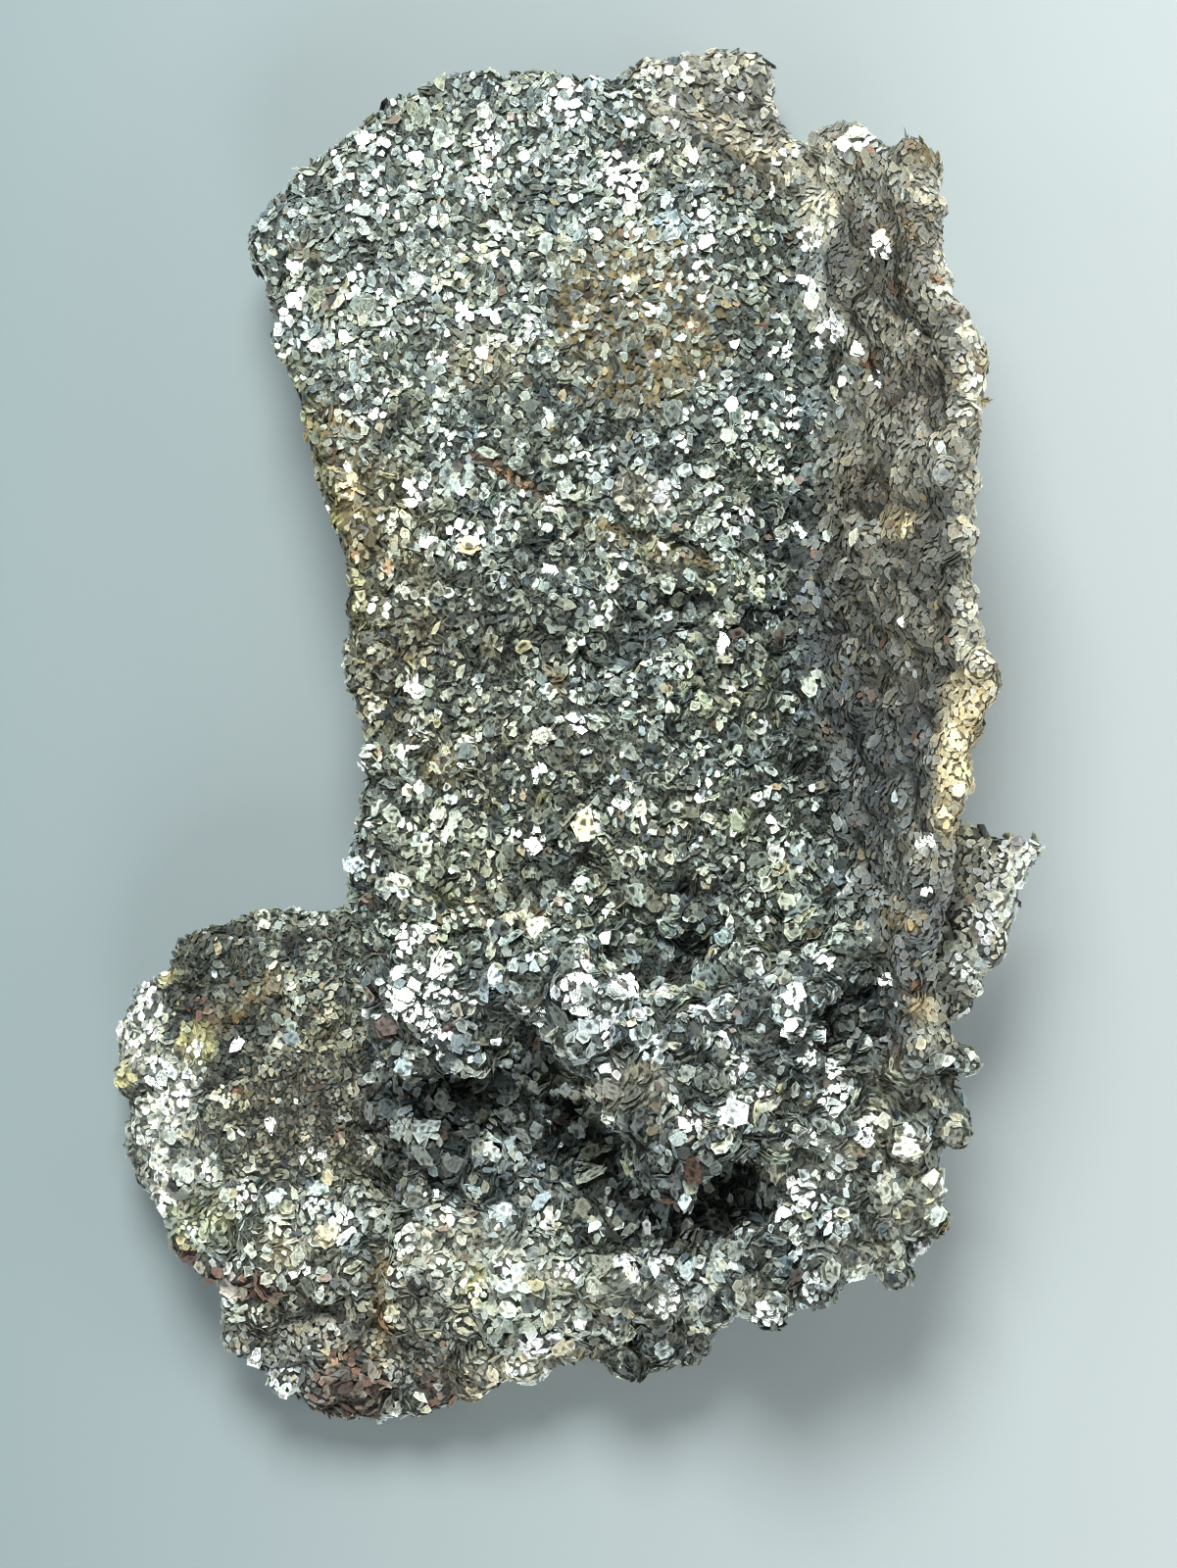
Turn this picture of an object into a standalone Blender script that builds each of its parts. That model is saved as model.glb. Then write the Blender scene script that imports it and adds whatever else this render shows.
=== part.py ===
# A palm-sized mineral specimen: plates and lumps grown together as one piece.
# It lies on its broken back. +Z is up, out of the crystal-coated front, and +Y runs
# to the upper end of the main plate. The origin is under the middle of its box.
#
# Outlines and heights are in millimetres from the middle of the front, and become
# metres where the meshes are made.

import bmesh
import bpy
import numpy as np
from mathutils import Matrix, Vector, noise

MM = 0.001

# Driving dimensions, in millimetres
MAIN_FACE_HEIGHT = 11.0       # front of the main plate above the resting plane
MAIN_PLATE_THICKNESS = 4.4
BACKING_COVER = 0.6           # how deep the backing's front lies in the main plate, as a share
TAB_FACE_HEIGHT = 5.9
TAB_THICKNESS = 3.4
WING_FACE_HEIGHT = 7.2        # front of the lower plate that spreads to the left
WING_THICKNESS = 3.6
SKIRT_FACE_HEIGHT = 5.8       # front of the layer under the wing
RIGHT_MASS_HEIGHT = 12.4
LEDGE_FACE_HEIGHT = 7.4       # front of the layer behind the wall
FIN_FACE_HEIGHT = 10.6
FIN_THICKNESS = 2.2
BACK_RELIEF = 1.1             # mean height of the rough back above the resting plane

# The standing wall and the rounded knobs along its rim
WALL_THICKNESS = 2.6
WALL_BELLY = 0.7              # how far the wall bows out between valley and rim
WALL_ROOT = 0.35              # how far it runs on below the valley, as a share of its height
WALL_COLUMNS = 6              # points from valley to rim
RIM_KNOBS = 30
KNOB_RADIUS = 1.55
KNOB_WANDER = Vector((0.5, 0.8, 0.5))
KNOB_OFFSET = Vector((-0.5, 0.0, -0.4))

# Growth on every face: heights in millimetres over patterns of these sizes
LUMP_SIZE = 3.1               # lumps of the lower mass
LUMP_DOME = 1.15
LUMP_SINK = 0.45
SCALE_SIZE = 2.3              # crystal faces of the plates
SCALE_DOME = 0.26
SCALE_SINK = 0.12
LEAN_HEIGHT = 0.45            # how far the crystal faces lean out of the surface
DOME_REACH = 0.62             # radius of a dome as a share of its cell
BROAD_SWELL = 0.40
BROAD_PATTERN = 0.16          # turns per millimetre
LUMP_SHIFT = Vector((0.0, 0.0, 40.0))
SCALE_SHIFT = Vector((30.0, 0.0, 0.0))
WANDER_SHIFTS = [(9.3, 1.5, 7.9), (61.2, 30.4, 12.7), (27.5, 83.1, 44.6)]
LUMP_UNEVENNESS = 0.16        # of a round lump's radius
LUMP_PATTERN = 0.45
FRONT_SHARPNESS = 1.6         # how quickly a slope stops counting as front or back

# The back: knobs that stand on the resting plane
FEET = [((2.0, -26.0), 12.0), ((-8.0, 27.0), 7.0), ((9.5, 26.0), 6.5)]
FOOT_DEPTH = 2.4              # how far the feet are pressed down before they are cut flat
FOOT_EDGE = 2.2               # how steep their edges are
FOOT_RAGGED = 0.30
FOOT_PATTERN = 0.22
FOOT_ZONE_TOP = 3.2           # nothing above this is pressed down
FOOT_ZONE_FADE = 1.2
GROUND_WIDTH = 200.0
GROUND_DEPTH = 20.0

BLOCK_HEIGHT = 8.0            # of a block before it is bent to its heights
BLOCK_FACE_SIZE = 0.9         # its faces then
CAP_GAP = 0.001               # gap between an outline's sides and its caps
FACE_SIZE = 0.5               # faces of the whole before its crystal faces are raised
ROUND_SUBDIVISIONS = 3
TRIANGLES = 9700
LEVEL_BAND = 0.001            # points lower than this lie on the resting plane
SMALLEST_GAP = 0.03           # points closer than this become one

# Outlines seen from the front, each as (x, y)
MAIN_PLATE = [
    (-20.2, 31.6), (-15.2, 36.4), (-11.8, 38.8), (-7.7, 40.9), (0.3, 40.4), (6.7, 38.0),
    (12.9, 34.4), (17.0, 32.0), (20.0, 26.0), (21.0, 16.0), (21.5, 5.0), (21.0, -6.0),
    (20.0, -15.0), (14.0, -19.0), (4.0, -17.0), (-2.6, -16.8), (-5.0, -20.6), (-9.3, -21.3),
    (-12.3, -20.3), (-12.8, -15.0), (-14.1, -11.0), (-13.8, -6.0), (-13.3, 0.3), (-14.4, 4.5),
    (-13.9, 9.7), (-15.2, 13.2), (-16.4, 17.8), (-17.6, 20.8), (-18.9, 23.7), (-18.8, 26.2),
    (-20.2, 29.4),
]
BACKING = [
    (-17.2, 29.5), (-12.0, 34.4), (-5.0, 37.6), (3.0, 36.6), (10.6, 33.0), (15.6, 30.4),
    (18.2, 21.0), (17.6, 9.0), (18.4, -4.0), (17.0, -18.0), (0.0, -24.0), (-10.4, -20.0),
    (-11.6, -9.0), (-11.0, 1.0), (-12.4, 9.0), (-13.6, 17.0), (-16.6, 24.0),
]
TAB = [
    (1.2, 39.9), (3.8, 41.1), (7.9, 42.5), (12.0, 42.1), (12.4, 38.2), (12.8, 34.8),
    (12.0, 31.0), (2.0, 33.0),
]
WING = [
    (-11.0, -9.0), (-14.3, -10.4), (-16.7, -10.0), (-20.4, -10.6), (-23.6, -11.2),
    (-25.4, -13.4), (-28.2, -16.6), (-29.3, -19.3), (-27.8, -22.0), (-28.4, -25.4),
    (-26.4, -28.6), (-24.8, -32.2), (-21.0, -34.2), (-17.5, -33.3), (-13.0, -35.4),
    (-7.0, -37.2), (2.0, -36.5), (10.0, -34.0), (14.0, -28.0), (12.0, -18.0), (0.0, -12.0),
]
SKIRT = [
    (-20.0, -28.0), (-22.2, -34.0), (-22.9, -37.6), (-20.2, -38.7), (-19.1, -40.5),
    (-16.3, -42.6), (-12.0, -42.3), (-6.1, -40.7), (-1.5, -39.8), (0.8, -38.4),
    (3.2, -39.3), (5.9, -39.0), (7.0, -37.2), (9.4, -35.6), (12.6, -35.4), (15.5, -33.9),
    (17.6, -32.4), (16.0, -24.0), (4.0, -22.0), (-10.0, -24.0),
]
RIGHT_MASS = [
    (9.0, -14.0), (18.0, -12.0), (21.4, -15.8), (22.8, -18.2), (22.9, -21.0), (22.3, -24.3),
    (21.1, -26.6), (19.4, -28.8), (19.0, -31.6), (17.9, -33.0), (15.3, -33.4), (12.0, -34.2),
    (8.4, -33.6), (6.8, -31.6), (9.0, -29.4), (11.6, -28.0), (10.6, -25.4), (7.0, -24.0),
]
LEDGE = [
    (14.0, 30.6), (18.4, 30.0), (20.6, 27.4), (21.6, 22.6), (20.8, 18.4), (21.9, 14.2),
    (21.2, 9.4), (22.4, 5.4), (21.2, 1.6), (19.4, -0.8), (14.0, -2.0),
]
FIN = [
    (17.0, -4.0), (22.0, -4.9), (24.8, -5.2), (28.4, -5.9), (27.6, -7.7), (26.3, -9.0),
    (25.4, -10.8), (25.8, -13.6), (23.6, -16.5), (21.6, -17.6), (17.0, -16.0),
]

# The wall on the right: each station is a point of the valley and one of the rim
WALL_STATIONS = [
    ((14.3, 35.8, 7.6), (20.0, 34.2, 15.6)),
    ((14.4, 31.2, 8.0), (20.2, 30.2, 17.4)),
    ((14.8, 26.6, 8.6), (20.7, 25.7, 18.8)),
    ((16.1, 22.4, 9.0), (22.8, 20.8, 20.0)),
    ((15.4, 17.2, 9.2), (22.4, 16.2, 20.2)),
    ((13.7, 9.7, 9.2), (22.1, 9.0, 20.6)),
    ((14.1, 4.4, 9.2), (23.3, 3.9, 20.8)),
    ((14.9, 0.6, 9.4), (22.6, 0.4, 20.2)),
    ((16.1, -5.6, 9.8), (21.2, -5.6, 18.8)),
    ((17.6, -11.6, 10.4), (20.6, -11.3, 17.2)),
    ((18.2, -17.0, 10.6), (20.2, -16.8, 15.0)),
    ((18.0, -21.4, 9.0), (19.8, -21.4, 12.2)),
]

# Lumps, each as (x, y, z) of the middle and a radius
RIDGE_LUMPS = [
    (-1.8, -14.9, 12.0, 3.2), (1.0, -17.6, 13.0, 3.5), (3.2, -20.8, 13.2, 3.4),
    (5.0, -24.0, 12.6, 3.0), (6.2, -26.9, 11.8, 1.9), (7.0, -18.6, 11.6, 4.2),
    (9.4, -22.4, 11.4, 4.0), (12.0, -17.0, 10.6, 4.4), (14.2, -21.6, 10.6, 4.2),
]
COLUMN_LUMPS = [
    (-7.8, -14.4, 9.6, 3.3), (-10.8, -17.4, 9.6, 2.5), (-7.6, -18.6, 9.4, 2.7),
    (-11.2, -12.6, 8.8, 3.0), (-4.4, -13.0, 9.2, 3.0),
]
RIM_LUMPS = [
    (11.2, -33.0, 9.8, 2.5), (14.6, -31.6, 9.8, 2.6), (9.2, -30.6, 9.4, 2.6),
    (5.6, -33.4, 7.8, 2.4), (18.0, -30.6, 9.2, 2.4), (19.4, -27.6, 9.6, 2.6),
    (1.4, -32.8, 7.0, 2.6), (-3.4, -32.4, 6.2, 3.0), (6.0, -36.9, 5.4, 2.0),
    (21.0, -22.6, 9.8, 2.4), (21.0, -18.8, 10.0, 2.2), (-9.6, -31.4, 5.6, 2.8),
]
HOOK_LUMPS = [
    (14.2, 35.9, 9.4, 1.0), (15.2, 35.7, 10.4, 1.2), (16.4, 35.0, 11.6, 1.4),
]
CREST_LUMPS = [
    (14.4, 30.4, 9.6, 0.9), (14.8, 28.6, 10.0, 0.9), (15.4, 26.6, 10.3, 1.0),
    (16.0, 24.8, 10.4, 0.9),
]

# Hollows cut out of the union, each as a middle, three radii and a turn about Z in degrees
HOLLOWS = [
    ((-1.6, -21.6, 8.8), (7.8, 3.6, 2.4), -24.0),
    ((0.2, -23.6, 8.2), (5.8, 3.8, 3.9), -32.0),
    ((9.2, -27.8, 11.4), (2.5, 2.2, 4.6), 20.0),
    ((15.9, -17.4, 14.4), (1.8, 1.5, 3.4), 0.0),
]

# Clefts and grooves pressed into the front: their run, half width and depth
CLEFTS = [
    ([(3.0, 8.3), (5.4, 7.7), (9.0, 7.6), (12.6, 6.5)], 0.6, 1.2),
    ([(-4.8, -5.5), (-2.6, -6.2), (0.9, -8.6)], 0.6, 1.5),
    ([(3.0, -11.8), (5.0, -12.8), (7.0, -12.6)], 0.8, 1.7),
    ([(0.6, 5.0), (1.4, 3.6), (2.9, 3.9)], 0.6, 1.4),
    ([(-7.4, 17.4), (-2.4, 14.9), (6.2, 11.3), (9.4, 9.8)], 0.8, 0.5),
    ([(-12.2, -32.0), (-12.1, -36.8)], 0.5, 0.8),
    ([(-12.9, -12.0), (-12.6, -22.0), (-12.0, -27.0)], 0.9, 0.8),
]


def start_clean():
    for obj in list(bpy.data.objects):
        bpy.data.objects.remove(obj, do_unlink=True)


def new_collection(name):
    collection = bpy.data.collections.new(name)
    bpy.context.scene.collection.children.link(collection)
    return collection


def remove_collection(collection):
    for obj in list(collection.objects):
        bpy.data.objects.remove(obj, do_unlink=True)
    bpy.data.collections.remove(collection)


def coordinates(mesh, what="co"):
    flat = np.empty(len(mesh.vertices) * 3)
    mesh.vertices.foreach_get(what, flat)
    return flat.reshape(-1, 3)


def set_coordinates(mesh, points):
    mesh.vertices.foreach_set("co", np.ascontiguousarray(points).ravel())
    mesh.update()


# Swaps an object's mesh for what its modifiers make of it
def settle(obj):
    graph = bpy.context.evaluated_depsgraph_get()
    old_mesh = obj.data
    new_mesh = bpy.data.meshes.new_from_object(obj.evaluated_get(graph))
    obj.modifiers.clear()
    obj.data = new_mesh
    bpy.data.meshes.remove(old_mesh)


# Gives an object faces of one size all over
def even_faces(obj, size):
    remesh = obj.modifiers.new("Even faces", "REMESH")
    remesh.mode = "VOXEL"
    remesh.voxel_size = size * MM
    settle(obj)


# Joins points that lie closer together than a gap, given in millimetres
def weld(mesh, gap):
    points = bmesh.new()
    points.from_mesh(mesh)
    bmesh.ops.remove_doubles(points, verts=points.verts, dist=gap * MM)
    bmesh.ops.dissolve_degenerate(points, dist=gap * MM, edges=points.edges)
    bmesh.ops.recalc_face_normals(points, faces=points.faces)
    points.to_mesh(mesh)
    points.free()


# A flat outline with a nominal height
def drawn_outline(name, outline, collection):
    curve = bpy.data.curves.new(name, "CURVE")
    curve.dimensions = "2D"
    curve.fill_mode = "BOTH"
    curve.extrude = BLOCK_HEIGHT / 2.0 * MM
    spline = curve.splines.new("POLY")
    spline.points.add(len(outline) - 1)
    for point, (x, y) in zip(spline.points, outline):
        point.co = (x * MM, y * MM, 0.0, 1.0)
    spline.use_cyclic_u = True
    drawn = bpy.data.objects.new(name + " outline", curve)
    collection.objects.link(drawn)
    graph = bpy.context.evaluated_depsgraph_get()
    mesh = bpy.data.meshes.new_from_object(drawn.evaluated_get(graph))
    bpy.data.objects.remove(drawn, do_unlink=True)
    weld(mesh, CAP_GAP)
    return mesh


# A block whose outline is drawn from the front. Its back and front follow two height
# functions, and its sides draw in toward the back by the share given as inset.
def outline_block(name, outline, back, front, inset, collection):
    block = bpy.data.objects.new(name, drawn_outline(name, outline, collection))
    collection.objects.link(block)
    even_faces(block, BLOCK_FACE_SIZE)

    points = coordinates(block.data) / MM
    share = points[:, 2] / BLOCK_HEIGHT + 0.5
    middle = np.mean(np.array(outline), axis=0)
    drawn_in = 1.0 - inset * np.clip(1.0 - share, 0.0, 1.0)
    x = middle[0] + (points[:, 0] - middle[0]) * drawn_in
    y = middle[1] + (points[:, 1] - middle[1]) * drawn_in
    low = back(x, y)
    z = low + share * (front(x, y) - low)
    set_coordinates(block.data, np.column_stack([x, y, z]) * MM)
    return block


# A round rise, 1 in its middle
def bump(x, y, middle, radius):
    distance = np.hypot(x - middle[0], y - middle[1])
    return np.exp(-((distance / radius) ** 2))


# How far a face has dropped at a distance past the line where it starts to fall
def fall(past, rate):
    return rate * np.maximum(past, 0.0) ** 2


# The main plate falls away toward its upper end and its left edge, and dips to the valley.
# A low step crosses it below its stained part.
def main_face(x, y):
    upper_fall = fall(y - 8.0, 0.0040)
    left_fall = fall(-12.0 - x, 0.03)
    valley_dip = fall(x - 7.0, 0.035) * np.clip((y + 14.0) / 12.0, 0.0, 1.0)
    column_end = 0.8 * bump(x, y, (-8.0, -15.0), 6.0)
    past_step = y - 16.6 + 0.42 * (x + 7.0)
    stain_step = 0.45 * np.tanh(past_step / 0.8) * bump(x, y, (0.0, 14.0), 9.0)
    return MAIN_FACE_HEIGHT - upper_fall - left_fall - valley_dip + column_end + stain_step


def main_back(x, y):
    return main_face(x, y) - MAIN_PLATE_THICKNESS


def rough_back(x, y):
    return np.full_like(x, BACK_RELIEF)


def backing_face(x, y):
    return main_face(x, y) - BACKING_COVER * MAIN_PLATE_THICKNESS


def ledge_face(x, y):
    return LEDGE_FACE_HEIGHT + 0.25 * np.sin(y * 0.5) - 0.12 * (x - 18.0)


def tab_face(x, y):
    return TAB_FACE_HEIGHT - 0.16 * (y - 36.0) + 0.05 * (x - 8.0)


def tab_back(x, y):
    return tab_face(x, y) - TAB_THICKNESS


# The wing has a crease where it meets the column of lumps, and swells below them
def wing_face(x, y):
    left_fall = fall(-20.0 - x, 0.035)
    top_fall = fall(y + 15.0, 0.05)
    crease = 0.7 * np.exp(-(((x + 12.6) / 1.6) ** 2))
    swell = 1.0 * bump(x, y, (-6.0, -31.0), 7.0)
    return WING_FACE_HEIGHT - left_fall - top_fall - crease + swell


def wing_back(x, y):
    return wing_face(x, y) - WING_THICKNESS


def skirt_face(x, y):
    right_rise = 0.06 * np.maximum(x + 4.0, 0.0)
    return SKIRT_FACE_HEIGHT - fall(-37.0 - y, 0.08) + right_rise


def right_mass_face(x, y):
    return RIGHT_MASS_HEIGHT - fall(x - 17.5, 0.16) - fall(-27.0 - y, 0.10)


def fin_face(x, y):
    return FIN_FACE_HEIGHT + 0.10 * (x - 24.0) + 0.10 * (y + 11.0)


def fin_back(x, y):
    return fin_face(x, y) - FIN_THICKNESS


# The wall: a sheet lofted from the valley to the rim, bowed a little, and thickened
def wall(collection):
    sheet = bmesh.new()
    rows = []
    for valley, rim in WALL_STATIONS:
        foot, top = Vector(valley), Vector(rim)
        run = top - foot
        outward = Vector((run.z, 0.0, -run.x)).normalized()
        start = foot - run * WALL_ROOT
        row = []
        for step in range(WALL_COLUMNS):
            share = step / (WALL_COLUMNS - 1)
            belly = WALL_BELLY * 4.0 * share * (1.0 - share)
            row.append(sheet.verts.new((start.lerp(top, share) + outward * belly) * MM))
        rows.append(row)
    for row, next_row in zip(rows, rows[1:]):
        for step in range(WALL_COLUMNS - 1):
            sheet.faces.new((row[step], row[step + 1], next_row[step + 1], next_row[step]))
    bmesh.ops.recalc_face_normals(sheet, faces=sheet.faces)
    mesh = bpy.data.meshes.new("wall")
    sheet.to_mesh(mesh)
    sheet.free()
    standing = bpy.data.objects.new("wall", mesh)
    collection.objects.link(standing)
    thicken = standing.modifiers.new("Plate thickness", "SOLIDIFY")
    thicken.thickness = WALL_THICKNESS * MM
    thicken.offset = 0.0
    settle(standing)


# A vector that wanders smoothly from place to place, each of its parts between -1 and 1
def wandering(place):
    return Vector([noise.noise(place + Vector(shift)) for shift in WANDER_SHIFTS])


# Knobs along the rim, each a little off its line and of its own size
def rim_knobs():
    knobs = []
    for index in range(RIM_KNOBS):
        share = (index + 0.5) / RIM_KNOBS * (len(WALL_STATIONS) - 1)
        station = int(share)
        here, following = WALL_STATIONS[station][1], WALL_STATIONS[station + 1][1]
        middle = Vector(here).lerp(Vector(following), share - station)
        off = wandering(Vector((index * 3.7, 1.3, 8.1))) * KNOB_WANDER
        knobs.append((*(middle + off + KNOB_OFFSET), KNOB_RADIUS + off.z))
    return knobs


# A round lump with a slightly uneven surface
def lump(name, middle, radius, collection):
    mesh = bpy.data.meshes.new(name)
    ball = bmesh.new()
    bmesh.ops.create_icosphere(ball, subdivisions=ROUND_SUBDIVISIONS, radius=radius * MM)
    for vert in ball.verts:
        place = Vector(middle) + vert.co / MM
        vert.co *= 1.0 + LUMP_UNEVENNESS * noise.noise(place * LUMP_PATTERN)
    ball.to_mesh(mesh)
    ball.free()
    grown = bpy.data.objects.new(name, mesh)
    grown.location = Vector(middle) * MM
    collection.objects.link(grown)


def boolean(body, operation, operands, name):
    modifier = body.modifiers.new(name, "BOOLEAN")
    modifier.operation = operation
    modifier.solver = "EXACT"
    modifier.operand_type = "COLLECTION"
    modifier.collection = operands
    settle(body)


def cutter_object(name, mesh, middle, collection):
    cutter = bpy.data.objects.new(name, mesh)
    cutter.location = Vector(middle) * MM
    cutter.hide_render = True
    cutter.display_type = "WIRE"
    collection.objects.link(cutter)


def hollow_cutter(name, middle, radii, turn, collection):
    mesh = bpy.data.meshes.new(name)
    ball = bmesh.new()
    bmesh.ops.create_icosphere(ball, subdivisions=ROUND_SUBDIVISIONS, radius=1.0)
    shape = Matrix.Rotation(np.radians(turn), 4, "Z") @ Matrix.Diagonal((*radii, 1.0))
    bmesh.ops.transform(ball, matrix=Matrix.Scale(MM, 4) @ shape, verts=ball.verts)
    ball.to_mesh(mesh)
    ball.free()
    cutter_object(name, mesh, middle, collection)


# A box that lies under the resting plane, wider than the piece
def ground_cutter(collection):
    mesh = bpy.data.meshes.new("ground")
    box = bmesh.new()
    bmesh.ops.create_cube(box, size=1.0)
    size = Vector((GROUND_WIDTH, GROUND_WIDTH, GROUND_DEPTH)) * MM
    bmesh.ops.scale(box, vec=size, verts=box.verts)
    box.to_mesh(mesh)
    box.free()
    cutter_object("ground", mesh, (0.0, 0.0, -GROUND_DEPTH / 2.0), collection)


# Distance in the XY plane from points to a run of straight pieces
def distance_to_run(x, y, run):
    nearest = np.full(x.shape, np.inf)
    for (x0, y0), (x1, y1) in zip(run, run[1:]):
        dx, dy = x1 - x0, y1 - y0
        share = np.clip(((x - x0) * dx + (y - y0) * dy) / (dx * dx + dy * dy), 0.0, 1.0)
        gap = np.hypot(x - x0 - share * dx, y - y0 - share * dy)
        nearest = np.minimum(nearest, gap)
    return nearest


# Domes side by side, one to each cell of a Voronoi pattern, from 0 between them to 1 on top
def domes(place, size):
    distances, _ = noise.voronoi(place / size)
    return max(0.0, 1.0 - (distances[0] / DOME_REACH) ** 2)


# Flat crystal faces side by side: each cell of a Voronoi pattern leans its own way
def leaning_faces(place, size):
    _, seeds = noise.voronoi(place / size)
    lean = wandering(seeds[0] * 5.1)
    return lean.dot(place - seeds[0] * size)


# How coarse the growth is at a place: 0 on the main plate and the wing, 1 on the lower lumps
def coarseness(x, y):
    lower_right = 1.0 / (1.0 + np.exp((y + 11.0 - 0.15 * x) / 2.0))
    wing_side = 1.0 / (1.0 + np.exp((x + 13.0) / 1.5))
    return lower_right * (1.0 - 0.75 * wing_side)


# How far the growth stands out of the surface at one place
def growth(place, coarse):
    broad = noise.fractal(place * BROAD_PATTERN, 0.8, 2.0, 3)
    lumps = LUMP_DOME * domes(place + LUMP_SHIFT, LUMP_SIZE) - LUMP_SINK
    lumps += LEAN_HEIGHT * leaning_faces(place, LUMP_SIZE)
    scales = SCALE_DOME * domes(place + SCALE_SHIFT, SCALE_SIZE) - SCALE_SINK
    scales += LEAN_HEIGHT * leaning_faces(place, SCALE_SIZE)
    return BROAD_SWELL * broad + coarse * lumps + (1.0 - coarse) * scales


# Raises the crystal faces, presses the clefts in and brings the feet down
def roughen(body):
    mesh = body.data
    points = coordinates(mesh) / MM
    normals = coordinates(mesh, "normal")
    x, y = points[:, 0], points[:, 1]
    coarse = coarseness(x, y)
    facing_front = np.clip(normals[:, 2] * FRONT_SHARPNESS, 0.0, 1.0)
    facing_back = np.clip(-normals[:, 2] * FRONT_SHARPNESS, 0.0, 1.0)

    swell = np.array([growth(Vector(point), share) for point, share in zip(points, coarse)])
    points += normals * swell[:, None]

    pressed = np.zeros(len(points))
    for run, half_width, depth in CLEFTS:
        gap = distance_to_run(x, y, run)
        pressed = np.maximum(pressed, depth * np.exp(-((gap / half_width) ** 2)))
    points[:, 2] -= pressed * facing_front

    low = np.clip((FOOT_ZONE_TOP - points[:, 2]) / FOOT_ZONE_FADE, 0.0, 1.0)
    ragged = np.array([noise.noise(Vector(point) * FOOT_PATTERN) for point in points])
    for middle, radius in FEET:
        pad = np.clip(FOOT_EDGE * (bump(x, y, middle, radius) + FOOT_RAGGED * ragged), 0.0, 1.0)
        points[:, 2] -= FOOT_DEPTH * facing_back * low * pad
    set_coordinates(mesh, points * MM)


def thin_out(body):
    body.data.calc_loop_triangles()
    reduce = body.modifiers.new("Fewer faces", "DECIMATE")
    reduce.decimate_type = "COLLAPSE"
    reduce.use_collapse_triangulate = True
    reduce.ratio = TRIANGLES / len(body.data.loop_triangles)
    settle(body)


# Levels the cut feet exactly, and puts the origin under the middle of the box
def level_and_centre(body):
    points = coordinates(body.data)
    points[points[:, 2] < LEVEL_BAND * MM, 2] = 0.0
    low, high = points.min(axis=0), points.max(axis=0)
    middle = (low + high) / 2.0
    points -= (middle[0], middle[1], 0.0)
    set_coordinates(body.data, points)


def silvery_crust():
    material = bpy.data.materials.new("silvery_crust")
    material.use_nodes = True
    shader = material.node_tree.nodes["Principled BSDF"]
    shader.inputs["Base Color"].default_value = (0.30, 0.29, 0.26, 1.0)
    shader.inputs["Metallic"].default_value = 0.7
    shader.inputs["Roughness"].default_value = 0.35
    return material


def build():
    start_clean()
    parts = new_collection("micaceous_hematite_specimen")
    others = new_collection("grown_on")
    hollow_cutters = new_collection("hollow_cutters")
    ground_cutters = new_collection("ground_cutters")

    specimen = outline_block("hematite_cluster", MAIN_PLATE, main_back, main_face, 0.03, parts)
    outline_block("backing", BACKING, rough_back, backing_face, 0.08, others)
    outline_block("tab", TAB, tab_back, tab_face, 0.06, others)
    outline_block("wing", WING, wing_back, wing_face, 0.04, others)
    outline_block("skirt", SKIRT, rough_back, skirt_face, 0.10, others)
    outline_block("right_mass", RIGHT_MASS, rough_back, right_mass_face, 0.12, others)
    outline_block("ledge", LEDGE, rough_back, ledge_face, 0.10, others)
    outline_block("fin", FIN, fin_back, fin_face, 0.02, others)
    wall(others)
    all_lumps = RIDGE_LUMPS + COLUMN_LUMPS + RIM_LUMPS + HOOK_LUMPS + CREST_LUMPS + rim_knobs()
    for index, (x, y, z, radius) in enumerate(all_lumps):
        lump(f"lump_{index}", (x, y, z), radius, others)

    for index, (middle, radii, turn) in enumerate(HOLLOWS):
        hollow_cutter(f"hollow_{index}", middle, radii, turn, hollow_cutters)

    boolean(specimen, "UNION", others, "Grown together")
    remove_collection(others)
    boolean(specimen, "DIFFERENCE", hollow_cutters, "Hollows")
    even_faces(specimen, FACE_SIZE)
    roughen(specimen)
    even_faces(specimen, FACE_SIZE)
    thin_out(specimen)
    ground_cutter(ground_cutters)
    boolean(specimen, "DIFFERENCE", ground_cutters, "Resting plane")
    weld(specimen.data, SMALLEST_GAP)
    level_and_centre(specimen)
    specimen.data.materials.clear()
    specimen.data.materials.append(silvery_crust())


build()
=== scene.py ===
# A hand-sized crust of thin silvery scales over plates that grew together.
# It lies on its broken back on a pale floor, and the camera looks straight down on it.
import math

import bmesh
import bpy
import numpy as np
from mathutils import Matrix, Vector, kdtree, noise

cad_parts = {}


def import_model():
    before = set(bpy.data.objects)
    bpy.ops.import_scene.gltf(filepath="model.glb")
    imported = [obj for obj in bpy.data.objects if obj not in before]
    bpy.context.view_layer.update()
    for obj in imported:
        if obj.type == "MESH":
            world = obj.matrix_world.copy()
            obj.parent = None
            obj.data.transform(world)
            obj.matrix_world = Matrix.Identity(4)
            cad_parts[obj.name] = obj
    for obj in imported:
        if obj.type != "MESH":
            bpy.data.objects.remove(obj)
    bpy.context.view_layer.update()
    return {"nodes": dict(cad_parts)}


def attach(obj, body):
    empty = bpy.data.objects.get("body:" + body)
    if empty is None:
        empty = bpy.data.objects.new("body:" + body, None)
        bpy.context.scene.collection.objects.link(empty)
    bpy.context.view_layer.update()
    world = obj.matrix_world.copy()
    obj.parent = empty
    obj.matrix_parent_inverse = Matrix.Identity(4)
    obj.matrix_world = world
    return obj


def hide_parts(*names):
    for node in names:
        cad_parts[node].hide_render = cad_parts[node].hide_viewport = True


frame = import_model()

mm = 0.001  # every length below is in millimetres unless its note says otherwise
rng = np.random.default_rng(2718)


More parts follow.
